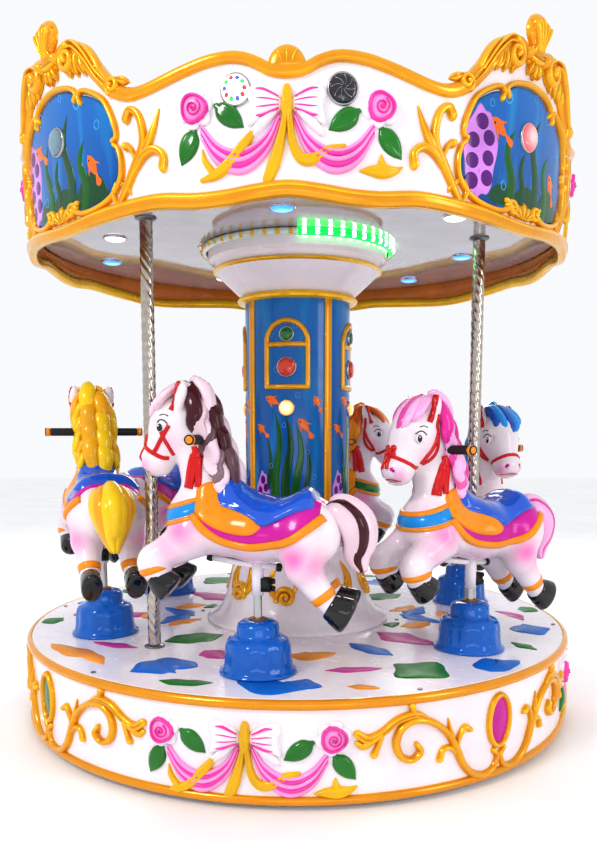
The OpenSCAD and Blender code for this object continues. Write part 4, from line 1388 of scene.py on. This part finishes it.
STRIP_R = 0.35
TUBE_R = STRIP_R - 0.012
TUBE_Z = CEILING_Z - 0.013
LIT_FROM, LIT_TO = 0, 90
DIODES = 50
DIODE_OUTLINE = ((-1, -0.8), (0, -1), (1, -0.8), (0.8, 0), (1, 0.8), (0, 1), (-1, 0.8), (-0.8, 0))


def strip_arc(a, b):
    """The tube's middle line from direction a to b, a point every three degrees."""
    n = int((b - a) / 3) + 1
    return [(radians(a + (b - a) * i / (n - 1)) * TUBE_R, TUBE_Z, 0.0125, 0.016) for i in range(n)]


def strip_look(name, dark, pale, rough, grain=30.0, coat=0.0, glow=None, strength=0.0):
    look = Look(name, rough=rough, coat=coat)
    look.colour(look.mix(look.mapped(look.noise(grain), 0.3, 0.7), dark, pale))
    if glow:
        look.shader.inputs["Emission Color"].default_value = glow
        look.shader.inputs["Emission Strength"].default_value = strength
    return look.material


def led_strip():
    """Clear tube round the ceiling cover with a diode every few degrees; a quarter of them is lit."""
    clear = strip_look("led_tube", rgb(196, 214, 204), rgb(226, 236, 230), 0.15, grain=40.0, coat=0.8)
    glow = strip_look("led_glow", rgb(0, 200, 70), rgb(20, 235, 90), 0.3, glow=rgb(0, 255, 70),
                      strength=1.6)
    hot = strip_look("led_hot", rgb(235, 255, 240), rgb(255, 255, 255), 0.3, glow=rgb(225, 255, 232),
                     strength=7.0)
    surface = cylinder_surface(0, TUBE_R)
    dark_arc = Relief().on(surface).band(strip_arc(LIT_TO, LIT_FROM + 360), per=2, flat=0.6)
    dark_arc.make("led_tube_dark", clear, "led_plastic", stands_for=("led_strip",))
    lit_arc = Relief().on(surface).band(strip_arc(LIT_FROM, LIT_TO), per=2, flat=0.6)
    lit_arc.make("led_tube_lit", glow, "led_plastic")
    dots = {True: Relief(), False: Relief()}
    for i in range(DIODES):
        turn = 360 * (i + 0.5) / DIODES
        along = radians(turn) * TUBE_R
        block = [(along + 0.0085 * x, TUBE_Z + 0.0115 * z) for x, z in DIODE_OUTLINE]
        dots[LIT_FROM < turn < LIT_TO].on(surface).pad(block, 0.0195, power=4)
    dots[True].make("led_diodes_lit", hot, "led_plastic")
    dots[False].make("led_diodes_dark", yellow_gel, "led_plastic")


# ---- Horses, sculpted in millimetres: x to the nose, y to the left, z up from the bracket ----

CELL = 6.0
FIELD_LOW = np.array((-330.0, -168.0, -125.0))
FIELD_HIGH = np.array((372.0, 168.0, 650.0))
HIND_LEG = ((-140, 60, 165), (-146, 68, 98), (-184, 69, 42), (-226, 70, -14))
FORE_LEG = ((185, 60, 175), (286, 80, 116), (291, 84, 100), (270, 85, 52))
HIND_SOLE = (-276, 71, -40)
FORE_SOLE = (241, 85, 27)
BACK_AXIS_Z = 190
BARREL_HALF = 122


class Clay:
    """A distance field built up from rounded lumps that run into each other."""

    def __init__(self):
        shape = np.ceil((FIELD_HIGH - FIELD_LOW) / CELL).astype(int)
        self.field = np.full(shape, 60.0)

    def patch(self, low, high):
        """The part of the grid between two corners, and the places of its points."""
        a = np.maximum(((np.array(low) - FIELD_LOW) / CELL).astype(int), 0)
        b = np.minimum(((np.array(high) - FIELD_LOW) / CELL).astype(int) + 2, self.field.shape)
        part = tuple(slice(i, j) for i, j in zip(a, b))
        axes = [FIELD_LOW[i] + CELL * np.arange(a[i], b[i]) for i in range(3)]
        return part, np.stack(np.meshgrid(*axes, indexing="ij"), -1)

    def blend(self, part, d, soft):
        f = self.field[part]
        h = np.maximum(soft - np.abs(f - d), 0) / soft
        self.field[part] = np.minimum(f, d) - h * h * soft / 4

    def cut(self, part, d, soft):
        f = self.field[part]
        h = np.maximum(soft - np.abs(f + d), 0) / soft
        self.field[part] = np.maximum(f, -d) + h * h * soft / 4

    def ball(self, centre, radii, soft=24.0, tilt=0.0, hollow=False):
        reach = max(radii) + soft + 20
        part, p = self.patch(np.array(centre) - reach, np.array(centre) + reach)
        q = p - np.array(centre, float)
        a = radians(tilt)
        x = q[..., 0] * cos(a) + q[..., 2] * sin(a)
        z = -q[..., 0] * sin(a) + q[..., 2] * cos(a)
        q = np.stack((x, q[..., 1], z), -1)
        r = np.array(radii, float)
        k0 = np.linalg.norm(q / r, axis=-1)
        k1 = np.linalg.norm(q / r**2, axis=-1) + 1e-9
        (self.cut if hollow else self.blend)(part, k0 * (k0 - 1) / k1, soft)

    def limb(self, path, sizes, soft=24.0, wide=1.0):
        """Cones from point to point; wide stretches them sideways."""
        for a, b, ra, rb in zip(path, path[1:], sizes, sizes[1:]):
            a, b = np.array(a, float), np.array(b, float)
            reach = max(ra, rb) * max(1, wide) + soft + 20
            part, p = self.patch(np.minimum(a, b) - reach, np.maximum(a, b) + reach)
            squash = np.array((1, 1 / wide, 1))
            p, a, b = p * squash, a * squash, b * squash
            t = np.clip(((p - a) @ (b - a)) / max(1e-6, (b - a) @ (b - a)), 0, 1)
            d = np.linalg.norm(p - a - t[..., None] * (b - a), axis=-1) - (ra + t * (rb - ra))
            self.blend(part, d, soft)

    def skin(self):
        """The surface where the field is zero: one point per mixed cell, one face per crossed edge."""
        f = self.field
        inside = f < 0
        cells = tuple(n - 1 for n in f.shape)
        total, count = np.zeros(cells + (3,)), np.zeros(cells)
        crossings = []
        for axis in range(3):
            lo = tuple(slice(0, -1) if i == axis else slice(None) for i in range(3))
            hi = tuple(slice(1, None) if i == axis else slice(None) for i in range(3))
            a, b = f[lo], f[hi]
            cross = inside[lo] != inside[hi]
            crossings.append((cross, inside[lo]))
            t = np.where(cross, a / np.where(cross, a - b, 1), 0)
            others = [i for i in range(3) if i != axis]
            for du in (0, 1):
                for dv in (0, 1):
                    sl = [slice(None)] * 3
                    sl[others[0]] = slice(du, du + cells[others[0]])
                    sl[others[1]] = slice(dv, dv + cells[others[1]])
                    c = cross[tuple(sl)]
                    step = np.zeros(c.shape + (3,))
                    step[..., axis] = t[tuple(sl)]
                    step[..., others[0]], step[..., others[1]] = du, dv
                    total += step * c[..., None]
                    count += c
        used = count > 0
        number = np.full(cells, -1)
        number[used] = np.arange(int(used.sum()))
        corner = np.stack(np.nonzero(used), -1)
        points = (corner + total[used] / count[used][:, None]) * CELL + FIELD_LOW
        faces = []
        for axis, (cross, first) in enumerate(crossings):
            u, v = [i for i in range(3) if i != axis]
            at = np.stack(np.nonzero(cross), -1)
            keep = (at[:, u] > 0) & (at[:, v] > 0) & (at[:, u] < cells[u]) & (at[:, v] < cells[v])
            at = at[keep]
            ring = []
            for du, dv in ((-1, -1), (0, -1), (0, 0), (-1, 0)):
                n = at.copy()
                n[:, u] += du
                n[:, v] += dv
                ring.append(number[tuple(n.T)])
            quad = np.stack(ring, -1)
            flip = first[tuple(at.T)] == (axis == 1)
            quad[flip] = quad[flip][:, ::-1]
            faces += quad.tolist()
        return points, faces


def sculpt_horse():
    clay = Clay()
    clay.limb(((168, 0, 206), (-10, 0, 186), (-150, 0, 192)), (84, 82, 84), 34, 1.28)
    clay.ball((196, 0, 232), (72, 84, 78), 40)
    clay.limb(((146, 0, 255), (166, 0, 400), (178, 0, 480)), (80, 62, 60), 34, 0.86)
    clay.ball((232, 0, 512), (84, 72, 84), 30)
    clay.ball((222, 0, 462), (66, 64, 58), 30)
    clay.limb(((270, 0, 470), (298, 0, 400)), (54, 44), 30)
    clay.ball((300, 0, 392), (44, 56, 43), 18)
    clay.ball((318, 0, 402), (26, 42, 28), 14)
    for side in (-1, 1):
        clay.ball((-156, 44 * side, 190), (96, 72, 98), 34)
        clay.limb([(x, y * side, z) for x, y, z in HIND_LEG], (72, 50, 35, 31), 22)
        clay.limb([(x, y * side, z) for x, y, z in FORE_LEG], (64, 40, 40, 35), 22)
        clay.ball((293, 84 * side, 108), (38, 36, 36), 14)
        clay.ball((212, 60 * side, 578), (22, 20, 50), 10, 12)
        clay.ball((233, 66 * side, 586), (11, 11, 34), 6, 12, hollow=True)
        clay.ball((268, 60 * side, 500), (20, 10, 17), 12, hollow=True)
        clay.ball((262, 56 * side, 500), (17, 13, 15), 8)
        clay.ball((262, 52 * side, 524), (26, 16, 9), 10, -18)
        clay.ball((334, 27 * side, 396), (7, 7, 6), 6, hollow=True)
    clay.ball((333, 0, 366), (26, 40, 4), 6, 10, hollow=True)
    return clay.skin()


HORSE_POINTS, HORSE_FACES = sculpt_horse()
HORSE_TREE = BVHTree.FromPolygons([Vector(p) for p in HORSE_POINTS], HORSE_FACES)
BLUSH = ((196, 96, 196, 46, 0.8), (-128, 112, 128, 44, 0.8), (236, 96, 150, 44, 0.45),
         (-172, 96, 110, 46, 0.6), (40, 70, 100, 90, 0.25), (-205, 0, 262, 42, 0.7),
         (322, 40, 384, 22, 0.5), (240, 78, 445, 30, 0.3), (250, 60, 245, 52, 0.25))


def blush_at(points):
    """Where pink is airbrushed: shoulders, stifles, rump, belly and cheeks."""
    p = np.abs(np.array(points) * (0, 1, 0)) + np.array(points) * (1, 0, 1)
    out = np.zeros(len(p))
    for x, y, z, r, strength in BLUSH:
        d = np.linalg.norm((p - (x, y, z)) / r, axis=1)
        out = np.maximum(out, strength * np.exp(-d * d))
    return out


class Part:
    """Points in horse millimetres with faces, and one value of paint per point."""

    def __init__(self):
        self.points, self.faces, self.paint = [], [], []

    def add(self, points, faces, paint=0.0):
        start = len(self.points)
        self.points += [tuple(p) for p in points]
        self.faces += [tuple(start + i for i in f) for f in faces]
        self.paint += [paint] * len(points) if np.isscalar(paint) else list(paint)

    def rings(self, rings, closed=False, paint=0.0):
        """Skins equal loops of points and caps the ends of an open row."""
        n, count = len(rings[0]), len(rings)
        faces = []
        for i in range(count if closed else count - 1):
            a, b = i * n, (i + 1) % count * n
            faces += [(a + j, a + (j + 1) % n, b + (j + 1) % n, b + j) for j in range(n)]
        if not closed:
            faces += [tuple(range(n))[::-1], tuple(range((count - 1) * n, count * n))]
        self.add([p for ring in rings for p in ring], faces, paint)

    def tube(self, path, sizes, flat=1.0, sides=8, out=(0, 1, 0), per=4, paint=0.0):
        """A round cord along a smooth path; flat squashes it along the way it faces."""
        rows = rounded([(*p, r) for p, r in zip(path, sizes)], per)
        centres, radii = rows[:, :3], rows[:, 3]
        out = np.array(out, float)
        rings = []
        for i, (c, r) in enumerate(zip(centres, radii)):
            along = centres[min(i + 1, len(centres) - 1)] - centres[max(i - 1, 0)]
            along /= np.linalg.norm(along) + 1e-9
            side = np.cross(along, out)
            side /= np.linalg.norm(side) + 1e-9
            up = np.cross(side, along)
            angles = 2 * pi * np.arange(sides) / sides
            rings.append([c + r * (cos(a) * side + flat * sin(a) * up) for a in angles])
        self.rings(rings, False, paint)

    def make(self, name, material, k, slot, attribute=None):
        ob = mesh_object(f"{name}_{k + 1}", np.array(self.points) / 1000, self.faces, material)
        if attribute:
            values = ob.data.attributes.new(attribute, "FLOAT", "POINT")
            values.data.foreach_set("value", np.array(self.paint, float))
        tidy_normals(ob)
        ob.matrix_world = horse_place(k)
        return settle(ob, f"rider_{k + 1}", slot)


SECOND_YAW = 22


def horse_place(k):
    yaw = radians(SECOND_YAW) if k == 1 else 0
    on_ring = Matrix.Translation((0, -HORSE_RING_R, BRACKET_Z + seat_lift(k)))
    return Matrix.Rotation(radians(seat_turn(k)), 4, "Z") @ on_ring @ Matrix.Rotation(pi - yaw, 4, "Z")


def on_skin(origin, way, fallback=60.0):
    """Where a ray from inside the horse comes out, and which way the skin faces there."""
    hit, normal, _, _ = HORSE_TREE.ray_cast(Vector(origin), Vector(way).normalized())
    if hit is None:
        return np.array(origin) + fallback * np.array(way), np.array(way, float)
    normal = np.array(normal)
    if normal @ np.array(way) < 0:
        normal = -normal
    return np.array(hit), normal


def hoop(part, centre, axis, width, height, steps=36, reach=400.0):
    """A strap round a limb or the head, pressed on the skin by rays from a point inside."""
    axis = np.array(axis, float) / np.linalg.norm(axis)
    u = np.cross(axis, (0, 1, 0) if abs(axis[1]) < 0.9 else (1, 0, 0))
    u /= np.linalg.norm(u)
    v = np.cross(axis, u)
    rings = []
    for i in range(steps):
        a = 2 * pi * i / steps
        way = cos(a) * u + sin(a) * v
        row = []
        for t, h in ((-1, -1.5), (-0.8, height * 0.7), (0, height), (0.8, height * 0.7), (1, -1.5)):
            core = np.array(centre) + axis * width * t
            p, _ = on_skin(core, way)
            row.append(core + way * (min(float(np.linalg.norm(p - core)), reach) + h))
        rings.append(row)
    part.rings(rings, True)


def strap(part, points, width, height, lift=0.0, inside=(230, 0, 470), per=5):
    """A strap through points near the skin; each is pulled onto it along a ray from inside."""
    path = []
    for p in rounded(points, per):
        core = np.array((p[0], 0, p[2])) if inside is None else np.array(inside, float)
        way = p - core
        way /= np.linalg.norm(way)
        path.append((*on_skin(core, way), way))
    rings = []
    for i, (p, normal, way) in enumerate(path):
        along = path[min(i + 1, len(path) - 1)][0] - path[max(i - 1, 0)][0]
        side = np.cross(along, normal)
        side /= np.linalg.norm(side) + 1e-9
        section = ((-1, -2), (-0.8, height * 0.7), (0, height), (0.8, height * 0.7), (1, -2))
        rings.append([p + side * width * t + normal * (h + lift) for t, h in section])
    part.rings(rings)


def saddle_angle(z):
    """How far round the barrel, from upright, the height z is."""
    return atan2(BARREL_HALF, z - BACK_AXIS_Z)


def back_surface(x, a, out):
    """Place over the back: station x, angle a from upright, distance out from the skin."""
    way = np.array((0, sin(a), cos(a)))
    p, _ = on_skin((x, 0, BACK_AXIS_Z), way)
    reach = min(hypot(p[1], p[2] - BACK_AXIS_Z), SADDLE_REACH)
    return np.array((x, 0, BACK_AXIS_Z)) + way * (reach + out)


def drape(part, outline, height, rows=26, cols=44, round_by=0.12, sag=None):
    """A padded cloth over the back between outline's ends; outline gives (x, lowest z)."""
    line = rounded(outline, 8)[::-1]
    xs = np.linspace(line[0, 0], line[-1, 0], rows)
    grid = []
    for i, x in enumerate(xs):
        low = float(np.interp(x, line[:, 0], line[:, 1]))
        reach = saddle_angle(low)
        end = min(1.0, min(i, rows - 1 - i) / (rows * round_by))
        row = []
        for j in range(cols + 1):
            v = 2 * j / cols - 1
            edge = min(1.0, (1 - abs(v)) / 0.07)
            swell = sin(pi / 2 * min(end, edge)) ** 0.6 if min(end, edge) > 0 else 0
            extra = sag(x, v) if sag else 0
            row.append(back_surface(x, v * reach, -3 + (height + 3) * swell + extra * swell))
        grid.append(row)
    n = cols + 1
    faces = [(i * n + j, i * n + j + 1, (i + 1) * n + j + 1, (i + 1) * n + j) for i in range(rows - 1)
             for j in range(cols)]
    part.add([p for row in grid for p in row], faces)


def edge_band(part, outline, half, height, steps=44):
    """A broad rounded trim that follows the outline on both sides of the horse."""
    line = rounded(outline, 8)[::-1]
    xs = np.linspace(line[0, 0], line[-1, 0], steps)
    for side in (-1, 1):
        path = [(x, saddle_angle(float(np.interp(x, line[:, 0], line[:, 1])))) for x in xs]
        centre = [back_surface(x, side * a, 0.0) for x, a in path]
        rings = []
        for i, c in enumerate(centre):
            along = centre[min(i + 1, steps - 1)] - centre[max(i - 1, 0)]
            way = np.array((0, sin(side * path[i][1]), cos(path[i][1])))
            across = np.cross(along, way)
            across /= np.linalg.norm(across)
            section = ((-1, -4), (-0.85, height * 0.6), (-0.4, height), (0.4, height), (0.85, height * 0.6),
                       (1, -4))
            rings.append([c + across * half * t + way * h for t, h in section])
        part.rings(rings)


SADDLE_REACH = 142
CLOTH = ((166, 258), (150, 226), (122, 196), (85, 172), (48, 160), (-8, 156), (-68, 163), (-105, 176),
         (-139, 194), (-180, 226), (-208, 262))
FLAP = ((168, 300), (160, 262), (142, 236), (115, 215), (75, 196), (30, 187), (-8, 190), (-38, 210))
SEAT = ((114, 322), (60, 285), (0, 240), (-38, 216), (-80, 238), (-130, 266), (-184, 290))


SEAT_SWELL = ((-200, 2), (-182, 26), (-150, 20), (-110, 4), (-60, 0), (-10, 8), (30, 30), (62, 56),
              (84, 64), (100, 30))


def seat_sag(x, v):
    """Cushion height over the seat's skin: high at cantle and pommel, and only near the middle line."""
    xs, heights = zip(*SEAT_SWELL)
    return float(np.interp(x, xs, heights)) * max(0, 1 - abs(v) * 1.15) ** 0.8


def saddle(k):
    cloth, flap, seat, trim = Part(), Part(), Part(), Part()
    drape(cloth, CLOTH, 5)
    edge_band(trim, CLOTH, 13, 12)
    drape(flap, FLAP, 15, round_by=0.2)
    drape(seat, SEAT, 19, rows=34, round_by=0.14, sag=seat_sag)
    cloth.make("saddle_cloth", magenta_gel, k, "column_paint")
    trim.make("saddle_trim", orange_gel, k, "column_paint")
    flap.make("saddle_flap", orange_gel, k, "column_paint")
    seat.make("saddle_seat", seat_gel, k, "column_paint")


def hoof(part, sole, leg_end, length, width, thick):
    """A black hoof: an oval sole with rounded rim, drawn in to the leg, with a step at the coronet."""
    sole, leg_end = np.array(sole, float), np.array(leg_end, float)
    axis = (sole - leg_end) / np.linalg.norm(sole - leg_end)
    v = np.array((0, 1.0, 0))
    u = np.cross(axis, v)
    rings = []
    for t, s, w in ((-1.3, 0.4, 0.6), (-1.2, 0.68, 0.98), (-1.0, 0.76, 1.04), (-0.9, 0.755, 1.03),
                    (-0.84, 0.82, 1.06), (-0.5, 0.9, 1.06), (-0.22, 0.97, 1.06), (-0.08, 0.98, 1.05),
                    (0.02, 0.93, 0.99), (0.1, 0.8, 0.84), (0.15, 0.56, 0.58), (0.17, 0.1, 0.1)):
        c = sole + axis * thick * t
        rings.append([c + s * length * cos(a) * u + w * width * sin(a) * v
                      for a in 2 * pi * np.arange(28) / 28])
    part.rings(rings)


def legs(k):
    hooves, bands = Part(), Part()
    for side in (-1, 1):
        flip = np.array((1, side, 1))
        hoof(hooves, HIND_SOLE * flip, HIND_LEG[-1] * flip, 54, 33, 52)
        hoof(hooves, FORE_SOLE * flip, FORE_LEG[-1] * flip, 48, 38, 50)
        hoop(bands, (-204, 70 * side, 14), (-42, 0, -56), 13, 3.5, 28, 44)
        hoop(bands, (286, 84 * side, 86), (-17, 0, -48), 12, 3.5, 28, 44)
    hooves.make("hooves", black_gel, k, "white_gelcoat")
    bands.make("leg_bands", orange_gel, k, "column_paint")


def face(k):
    """Eyes with a painted highlight on each, brows, nostrils, mouth and the red insides of the ears."""
    black, white, pink, red = Part(), Part(), Part(), Part()
    for side in (-1, 1):
        eye = np.array((268, 64.5 * side, 492), float)
        for part, scale_by, out in ((white, 14, 0.0), (black, 11.5, 2.4)):
            rings = []
            for t in (0.0, 0.35, 0.65, 0.87, 0.97):
                r, h = cos(t * pi / 2) * scale_by, sin(t * pi / 2) * scale_by * 0.5
                rings.append([eye + (r * 0.82 * cos(a) + 2, side * (h + out), r * 1.1 * sin(a))
                              for a in 2 * pi * np.arange(18) / 18])
            part.rings(rings)
        # The small white dot on each eye is a painted highlight (a glint).
        glint = eye + (5, side * 8.5, 5)
        around = 2 * pi * np.arange(8) / 8
        sizes = ((2.4, -1), (2.2, 0.8), (0.8, 1.4))
        white.rings([[glint + (r * cos(a), side * h, r * sin(a)) for a in around] for r, h in sizes])
        strap(black, [(247, 66 * side, 502), (256, 66 * side, 511), (268, 66 * side, 514),
                      (281, 66 * side, 508)], 2.0, 1.6, inside=(266, 0, 492))
        strap(black, [(244, 66 * side, 522), (256, 66 * side, 528), (270, 66 * side, 526)], 1.6, 1.4,
              inside=(266, 0, 492))
        strap(pink, [(337, 22 * side, 404), (340, 26 * side, 398), (336, 30 * side, 392)], 6, 2.4,
              inside=(300, 0, 396))
        ear = [(229, 66 * side, 548), (227, 70 * side, 566), (222, 72 * side, 588), (216, 70 * side, 610),
               (211, 66 * side, 622)]
        strap(red, ear, 10, 3, inside=(198, 52 * side, 582))
    strap(red, [(316, -40, 364), (332, -22, 362), (338, 0, 361), (332, 22, 362), (316, 40, 364)], 2.4, 1.8,
          inside=(290, 0, 380))
    black.make("horse_eyes", black_gel, k, "white_gelcoat")
    white.make("horse_eye_whites_and_glints", white_gel, k, "white_gelcoat")
    pink.make("horse_nostrils", magenta_gel, k, "white_gelcoat")
    red.make("horse_ears_and_mouth", red_gel, k, "white_gelcoat")


CROSSED_BRIDLES = (0, 4)
ROSETTES = (0, 1, 3, 5)


def bridle(k):
    """Noseband and cheek straps, which cross on some horses and fan out on others, and neck tassels."""
    reins, tassels = Part(), Part()
    strap(reins, [(236, -62, 392), (262, -60, 398), (296, -48, 418), (328, -22, 436), (336, 0, 440),
                  (328, 22, 436), (296, 48, 418), (262, 60, 398), (236, 62, 392)], 6.5, 4.5,
                  inside=(280, 0, 420))
    for side in (-1, 1):
        if k in CROSSED_BRIDLES:
            strap(reins, [(240, 60 * side, 392), (248, 66 * side, 430), (262, 68 * side, 466),
                          (276, 64 * side, 500)], 6.5, 4.5)
            strap(reins, [(300, 50 * side, 416), (284, 58 * side, 440), (262, 68 * side, 468),
                          (240, 66 * side, 496)], 6.5, 4.5, 0.8)
        else:
            strap(reins, [(244, 60 * side, 394), (218, 68 * side, 424), (203, 68 * side, 460),
                          (202, 66 * side, 505), (212, 62 * side, 545)],
                  6.5, 4.5)
            strap(reins, [(252, 60 * side, 400), (238, 68 * side, 434), (218, 68 * side, 470),
                          (204, 66 * side, 504)], 6.5, 4.5, 0.8)
        strap(tassels, [(164, 60 * side, 440), (161, 62 * side, 424), (166, 62 * side, 408)], 17, 9,
              inside=None)
        strap(tassels, [(168, 62 * side, 412), (178, 64 * side, 380), (186, 66 * side, 345),
                        (192, 68 * side, 318)], 17, 6, inside=None)
        strap(tassels, [(156, 62 * side, 412), (158, 64 * side, 380), (160, 66 * side, 345),
                        (162, 68 * side, 322)], 11, 6, inside=None)
    if k in ROSETTES:
        for y, z in ((0, 448), (-12, 458), (12, 458), (-12, 440), (12, 440)):
            p, way = on_skin((280, 0.4 * y, z), (1, y / 60, 0.1))
            tassels.tube([p - 6 * way, p + 5 * way, p + 7 * way], (11, 10, 5), sides=12, out=(0, 0, 1),
                         per=2)
        for y in (-8, 8):
            strap(tassels, [(330, y * 0.7, 436), (338, y, 418), (342, y * 1.3, 404)], 7, 6,
                  inside=(285, 0, 430))
    reins.make("bridle", red_gel, k, "column_paint")
    tassels.make("tassels", red_gel, k, "column_paint")


def breast_strap(k):
    blue, gold = Part(), Part()
    core, axis = (172, 0, 262), np.array((0.28, 0, 1))
    hoop(blue, core, axis, 17, 3.0, 48, 130)
    for t in (-22, 22):
        hoop(gold, np.array(core) + axis * t, axis, 6.5, 4.5, 48, 130)
    blue.make("breast_strap", green_gel if k == 3 else light_blue_gel, k, "column_paint")
    gold.make("breast_strap_edges", orange_gel, k, "column_paint")


# ---- Manes and tails ----


def lock(part, points, size, paint, out):
    sizes = [size * s for s in (0.6, 0.95, 1.0, 0.98, 0.85, 0.62, 0.2)][-len(points) :]
    part.tube(points, sizes, 0.6, 10, out, 4, paint=paint)


SIDE_PAINTS = (1.0, 0.15, 0.0, 0.9, 0.0, 0.75, 0.0)
CREST_PAINTS = (0.0, 1.0, 1.0, 0.1, 1.0, 0.0, 0.9, 0.0)
FORELOCK_PAINTS = (0.9, 0.0, 0.85, 0.0, 0.1)


def mane():
    """Broad locks that overlap down both sides of the crest, and a forelock swept to one side."""
    hair = Part()
    for side in (-1, 1):
        for i in range(7):
            t = i / 6
            x, z = 184 - 74 * t, 606 - 200 * t
            drop, sway = 150 - 34 * t, 4 * (-1) ** i
            spread = 50 + 7 * sin(1.7 * i + side)
            lock(hair, [(x + 12, side * 6, z + 8), (x, side * 26, z),
                        (x - 12 + sway, side * spread, z - drop * 0.22),
                        (x - 14 - sway, side * (spread + 12), z - drop * 0.46),
                        (x - 18 + sway, side * (spread + 14), z - drop * 0.68),
                        (x - 28 - sway, side * (spread + 10), z - drop * 0.86),
                        (x - 44, side * (spread + 2), z - drop)],
                 25, SIDE_PAINTS[i], (0, side, 0.25))
    for i in range(8):
        t = i / 7
        x, z = 168 - 76 * t, 618 - 208 * t
        side = (-1) ** i
        drop = 170 - 40 * t
        lock(hair, [(x + 22, 0, z + 2), (x - 4, 14 * side, z + 2), (x - 28, 24 * side, z - 26),
                    (x - 37, 26 * side, z - drop * 0.4), (x - 40, 22 * side, z - drop * 0.62),
                    (x - 46, 17 * side, z - drop * 0.82), (x - 60, 12 * side, z - drop)],
             29, CREST_PAINTS[i], (-0.9, 0.25 * side, 0.2))
    for i, (y, reach, drop) in enumerate(((-36, 88, 60), (-16, 104, 78), (6, 108, 84), (26, 102, 72),
                                          (44, 80, 50))):
        points = [(190, y * 0.4, 604), (222, y * 0.85, 616 - abs(y) * 0.2),
                  (196 + reach * 0.66, y * 1.1 + 4, 600 - drop * 0.18),
                  (196 + reach * 0.93, y * 1.15 + 8, 592 - drop * 0.5),
                  (196 + reach * 1.02, y * 1.05 + 2, 592 - drop * 0.82),
                  (196 + reach, y * 0.9 - 6, 592 - drop)]
        lock(hair, points, 23, FORELOCK_PAINTS[i], (0.5, 0, 0.8))
    return hair


def tail():
    """A heavy drop of hair from the root, in strands that curl out at the end."""
    hair = Part()
    for y, back, size, paint in ((0, 0, 38, 0.0), (-30, -6, 27, 1.0), (30, -6, 27, 1.0), (-15, 14, 25, 0.1),
                                 (15, 14, 25, 0.0), (-46, -16, 19, 0.0), (46, -16, 19, 0.1)):
        points = [(-212, y * 0.35, 266), (-244 - back * 0.6, y * 0.95, 262), (-288 - back, y * 1.15, 222),
                  (-300 - back, y * 0.9, 172), (-294 - back, y * 0.55, 122),
                  (-310 - back * 0.6, y * 0.25, 78)]
        sizes = [size * s for s in (0.5, 0.95, 1.2, 1.1, 0.8, 0.2)]
        hair.tube(points, sizes, 1.3, 10, (-1, 0, 0.2), 5, paint=paint)
    return hair


MANE_PAINTS = ((rgb(240, 214, 226), rgb(72, 6, 26)), (rgb(246, 190, 232), rgb(226, 40, 160)),
               (rgb(30, 150, 226), rgb(0, 70, 176)),
               (rgb(246, 160, 20), rgb(214, 96, 6)), (rgb(244, 214, 226), rgb(190, 20, 96)),
               (rgb(246, 206, 20), rgb(236, 174, 10)))


def horse_body(k):
    ob = mesh_object(f"horse_body_{k + 1}", HORSE_POINTS / 1000, HORSE_FACES, horse_paint)
    ob.data.attributes.new("blush", "FLOAT", "POINT").data.foreach_set("value", blush_at(HORSE_POINTS))
    ob.matrix_world = horse_place(k)
    settle(ob, f"rider_{k + 1}", "white_gelcoat", f"horse_{k + 1}")


BAR_X, BAR_Z = 152, 458


def bar_end(part, side, ys, sizes):
    path = [(BAR_X, y * side, BAR_Z) for y in ys]
    part.tube(path, sizes, sides=16, out=(0, 0, 1), per=1)


def hardware(k):
    """Bracket sleeve, clamp, bearer bar and handlebar grips, over the CAD's plain ones."""
    white, black, orange = Part(), Part(), Part()
    white.tube([(0, 0, 2), (0, 0, 60), (0, 0, 112)], (18, 18, 18), sides=20, per=1)
    white.tube([(-60, 0, 84), (40, 0, 93), (140, 0, 110)], (10, 10, 10), sides=14, per=1)
    black.tube([(136, 0, 109), (142, 0, 110), (152, 0, 112)], (12, 13, 11), sides=14, per=1)
    black.tube([(-58, 0, 84.5), (-66, 0, 84), (-72, 0, 83)], (12, 13, 11), sides=14, per=1)
    black.rings([[(x, y, z) for x, y in ((-40, -14), (-40, 14), (-6, 14), (-6, -14))] for z in (12, 52)])
    for z in (20, 42):
        black.tube([(-40, 0, z), (-52, 0, z)], (8, 8), sides=6, per=1)
    for side in (-1, 1):
        bar_end(black, side, (40, 64, 150, 156), (15, 14, 14, 12))
        bar_end(orange, side, (154, 160, 168, 173), (13, 15, 15, 9))
    white.make("rider_brackets", white_gel, k, "frame_paint")
    black.make("rider_grips", black_rubber, k, "grip_black")
    orange.make("rider_grip_caps", orange_gel, k, "grip_black")


light_blue_gel = gelcoat("light_blue_paint", rgb(20, 150, 224), vary=0.1)
seat_gel = gelcoat("seat_gelcoat", rgb(8, 92, 206), low=0.06, high=0.18, coat=1.0, ripple=0.2)
horse_paint = two_paints("horse_paint", "blush", rgb(236, 226, 232), rgb(236, 60, 176))


def horses():
    hair, brush = mane(), tail()
    for k in SEATS:
        horse_body(k)
        saddle(k)
        legs(k)
        face(k)
        bridle(k)
        breast_strap(k)
        hardware(k)
        paint = two_paints(f"hair_paint_{k + 1}", "streak", *MANE_PAINTS[k])
        hair.make("mane", paint, k, "white_gelcoat", "streak")
        brush.make("tail", paint, k, "white_gelcoat", "streak")


# ---- The whole ride ----

make_camera()
make_stage()
dress_frame()
drum_ornament()
deck_paint()
pedestals()
plinth()
column_mouldings()
column_lamps()
column_sea()
handrail_poles()
crown()
canopy_lamps()
led_strip()
horses()
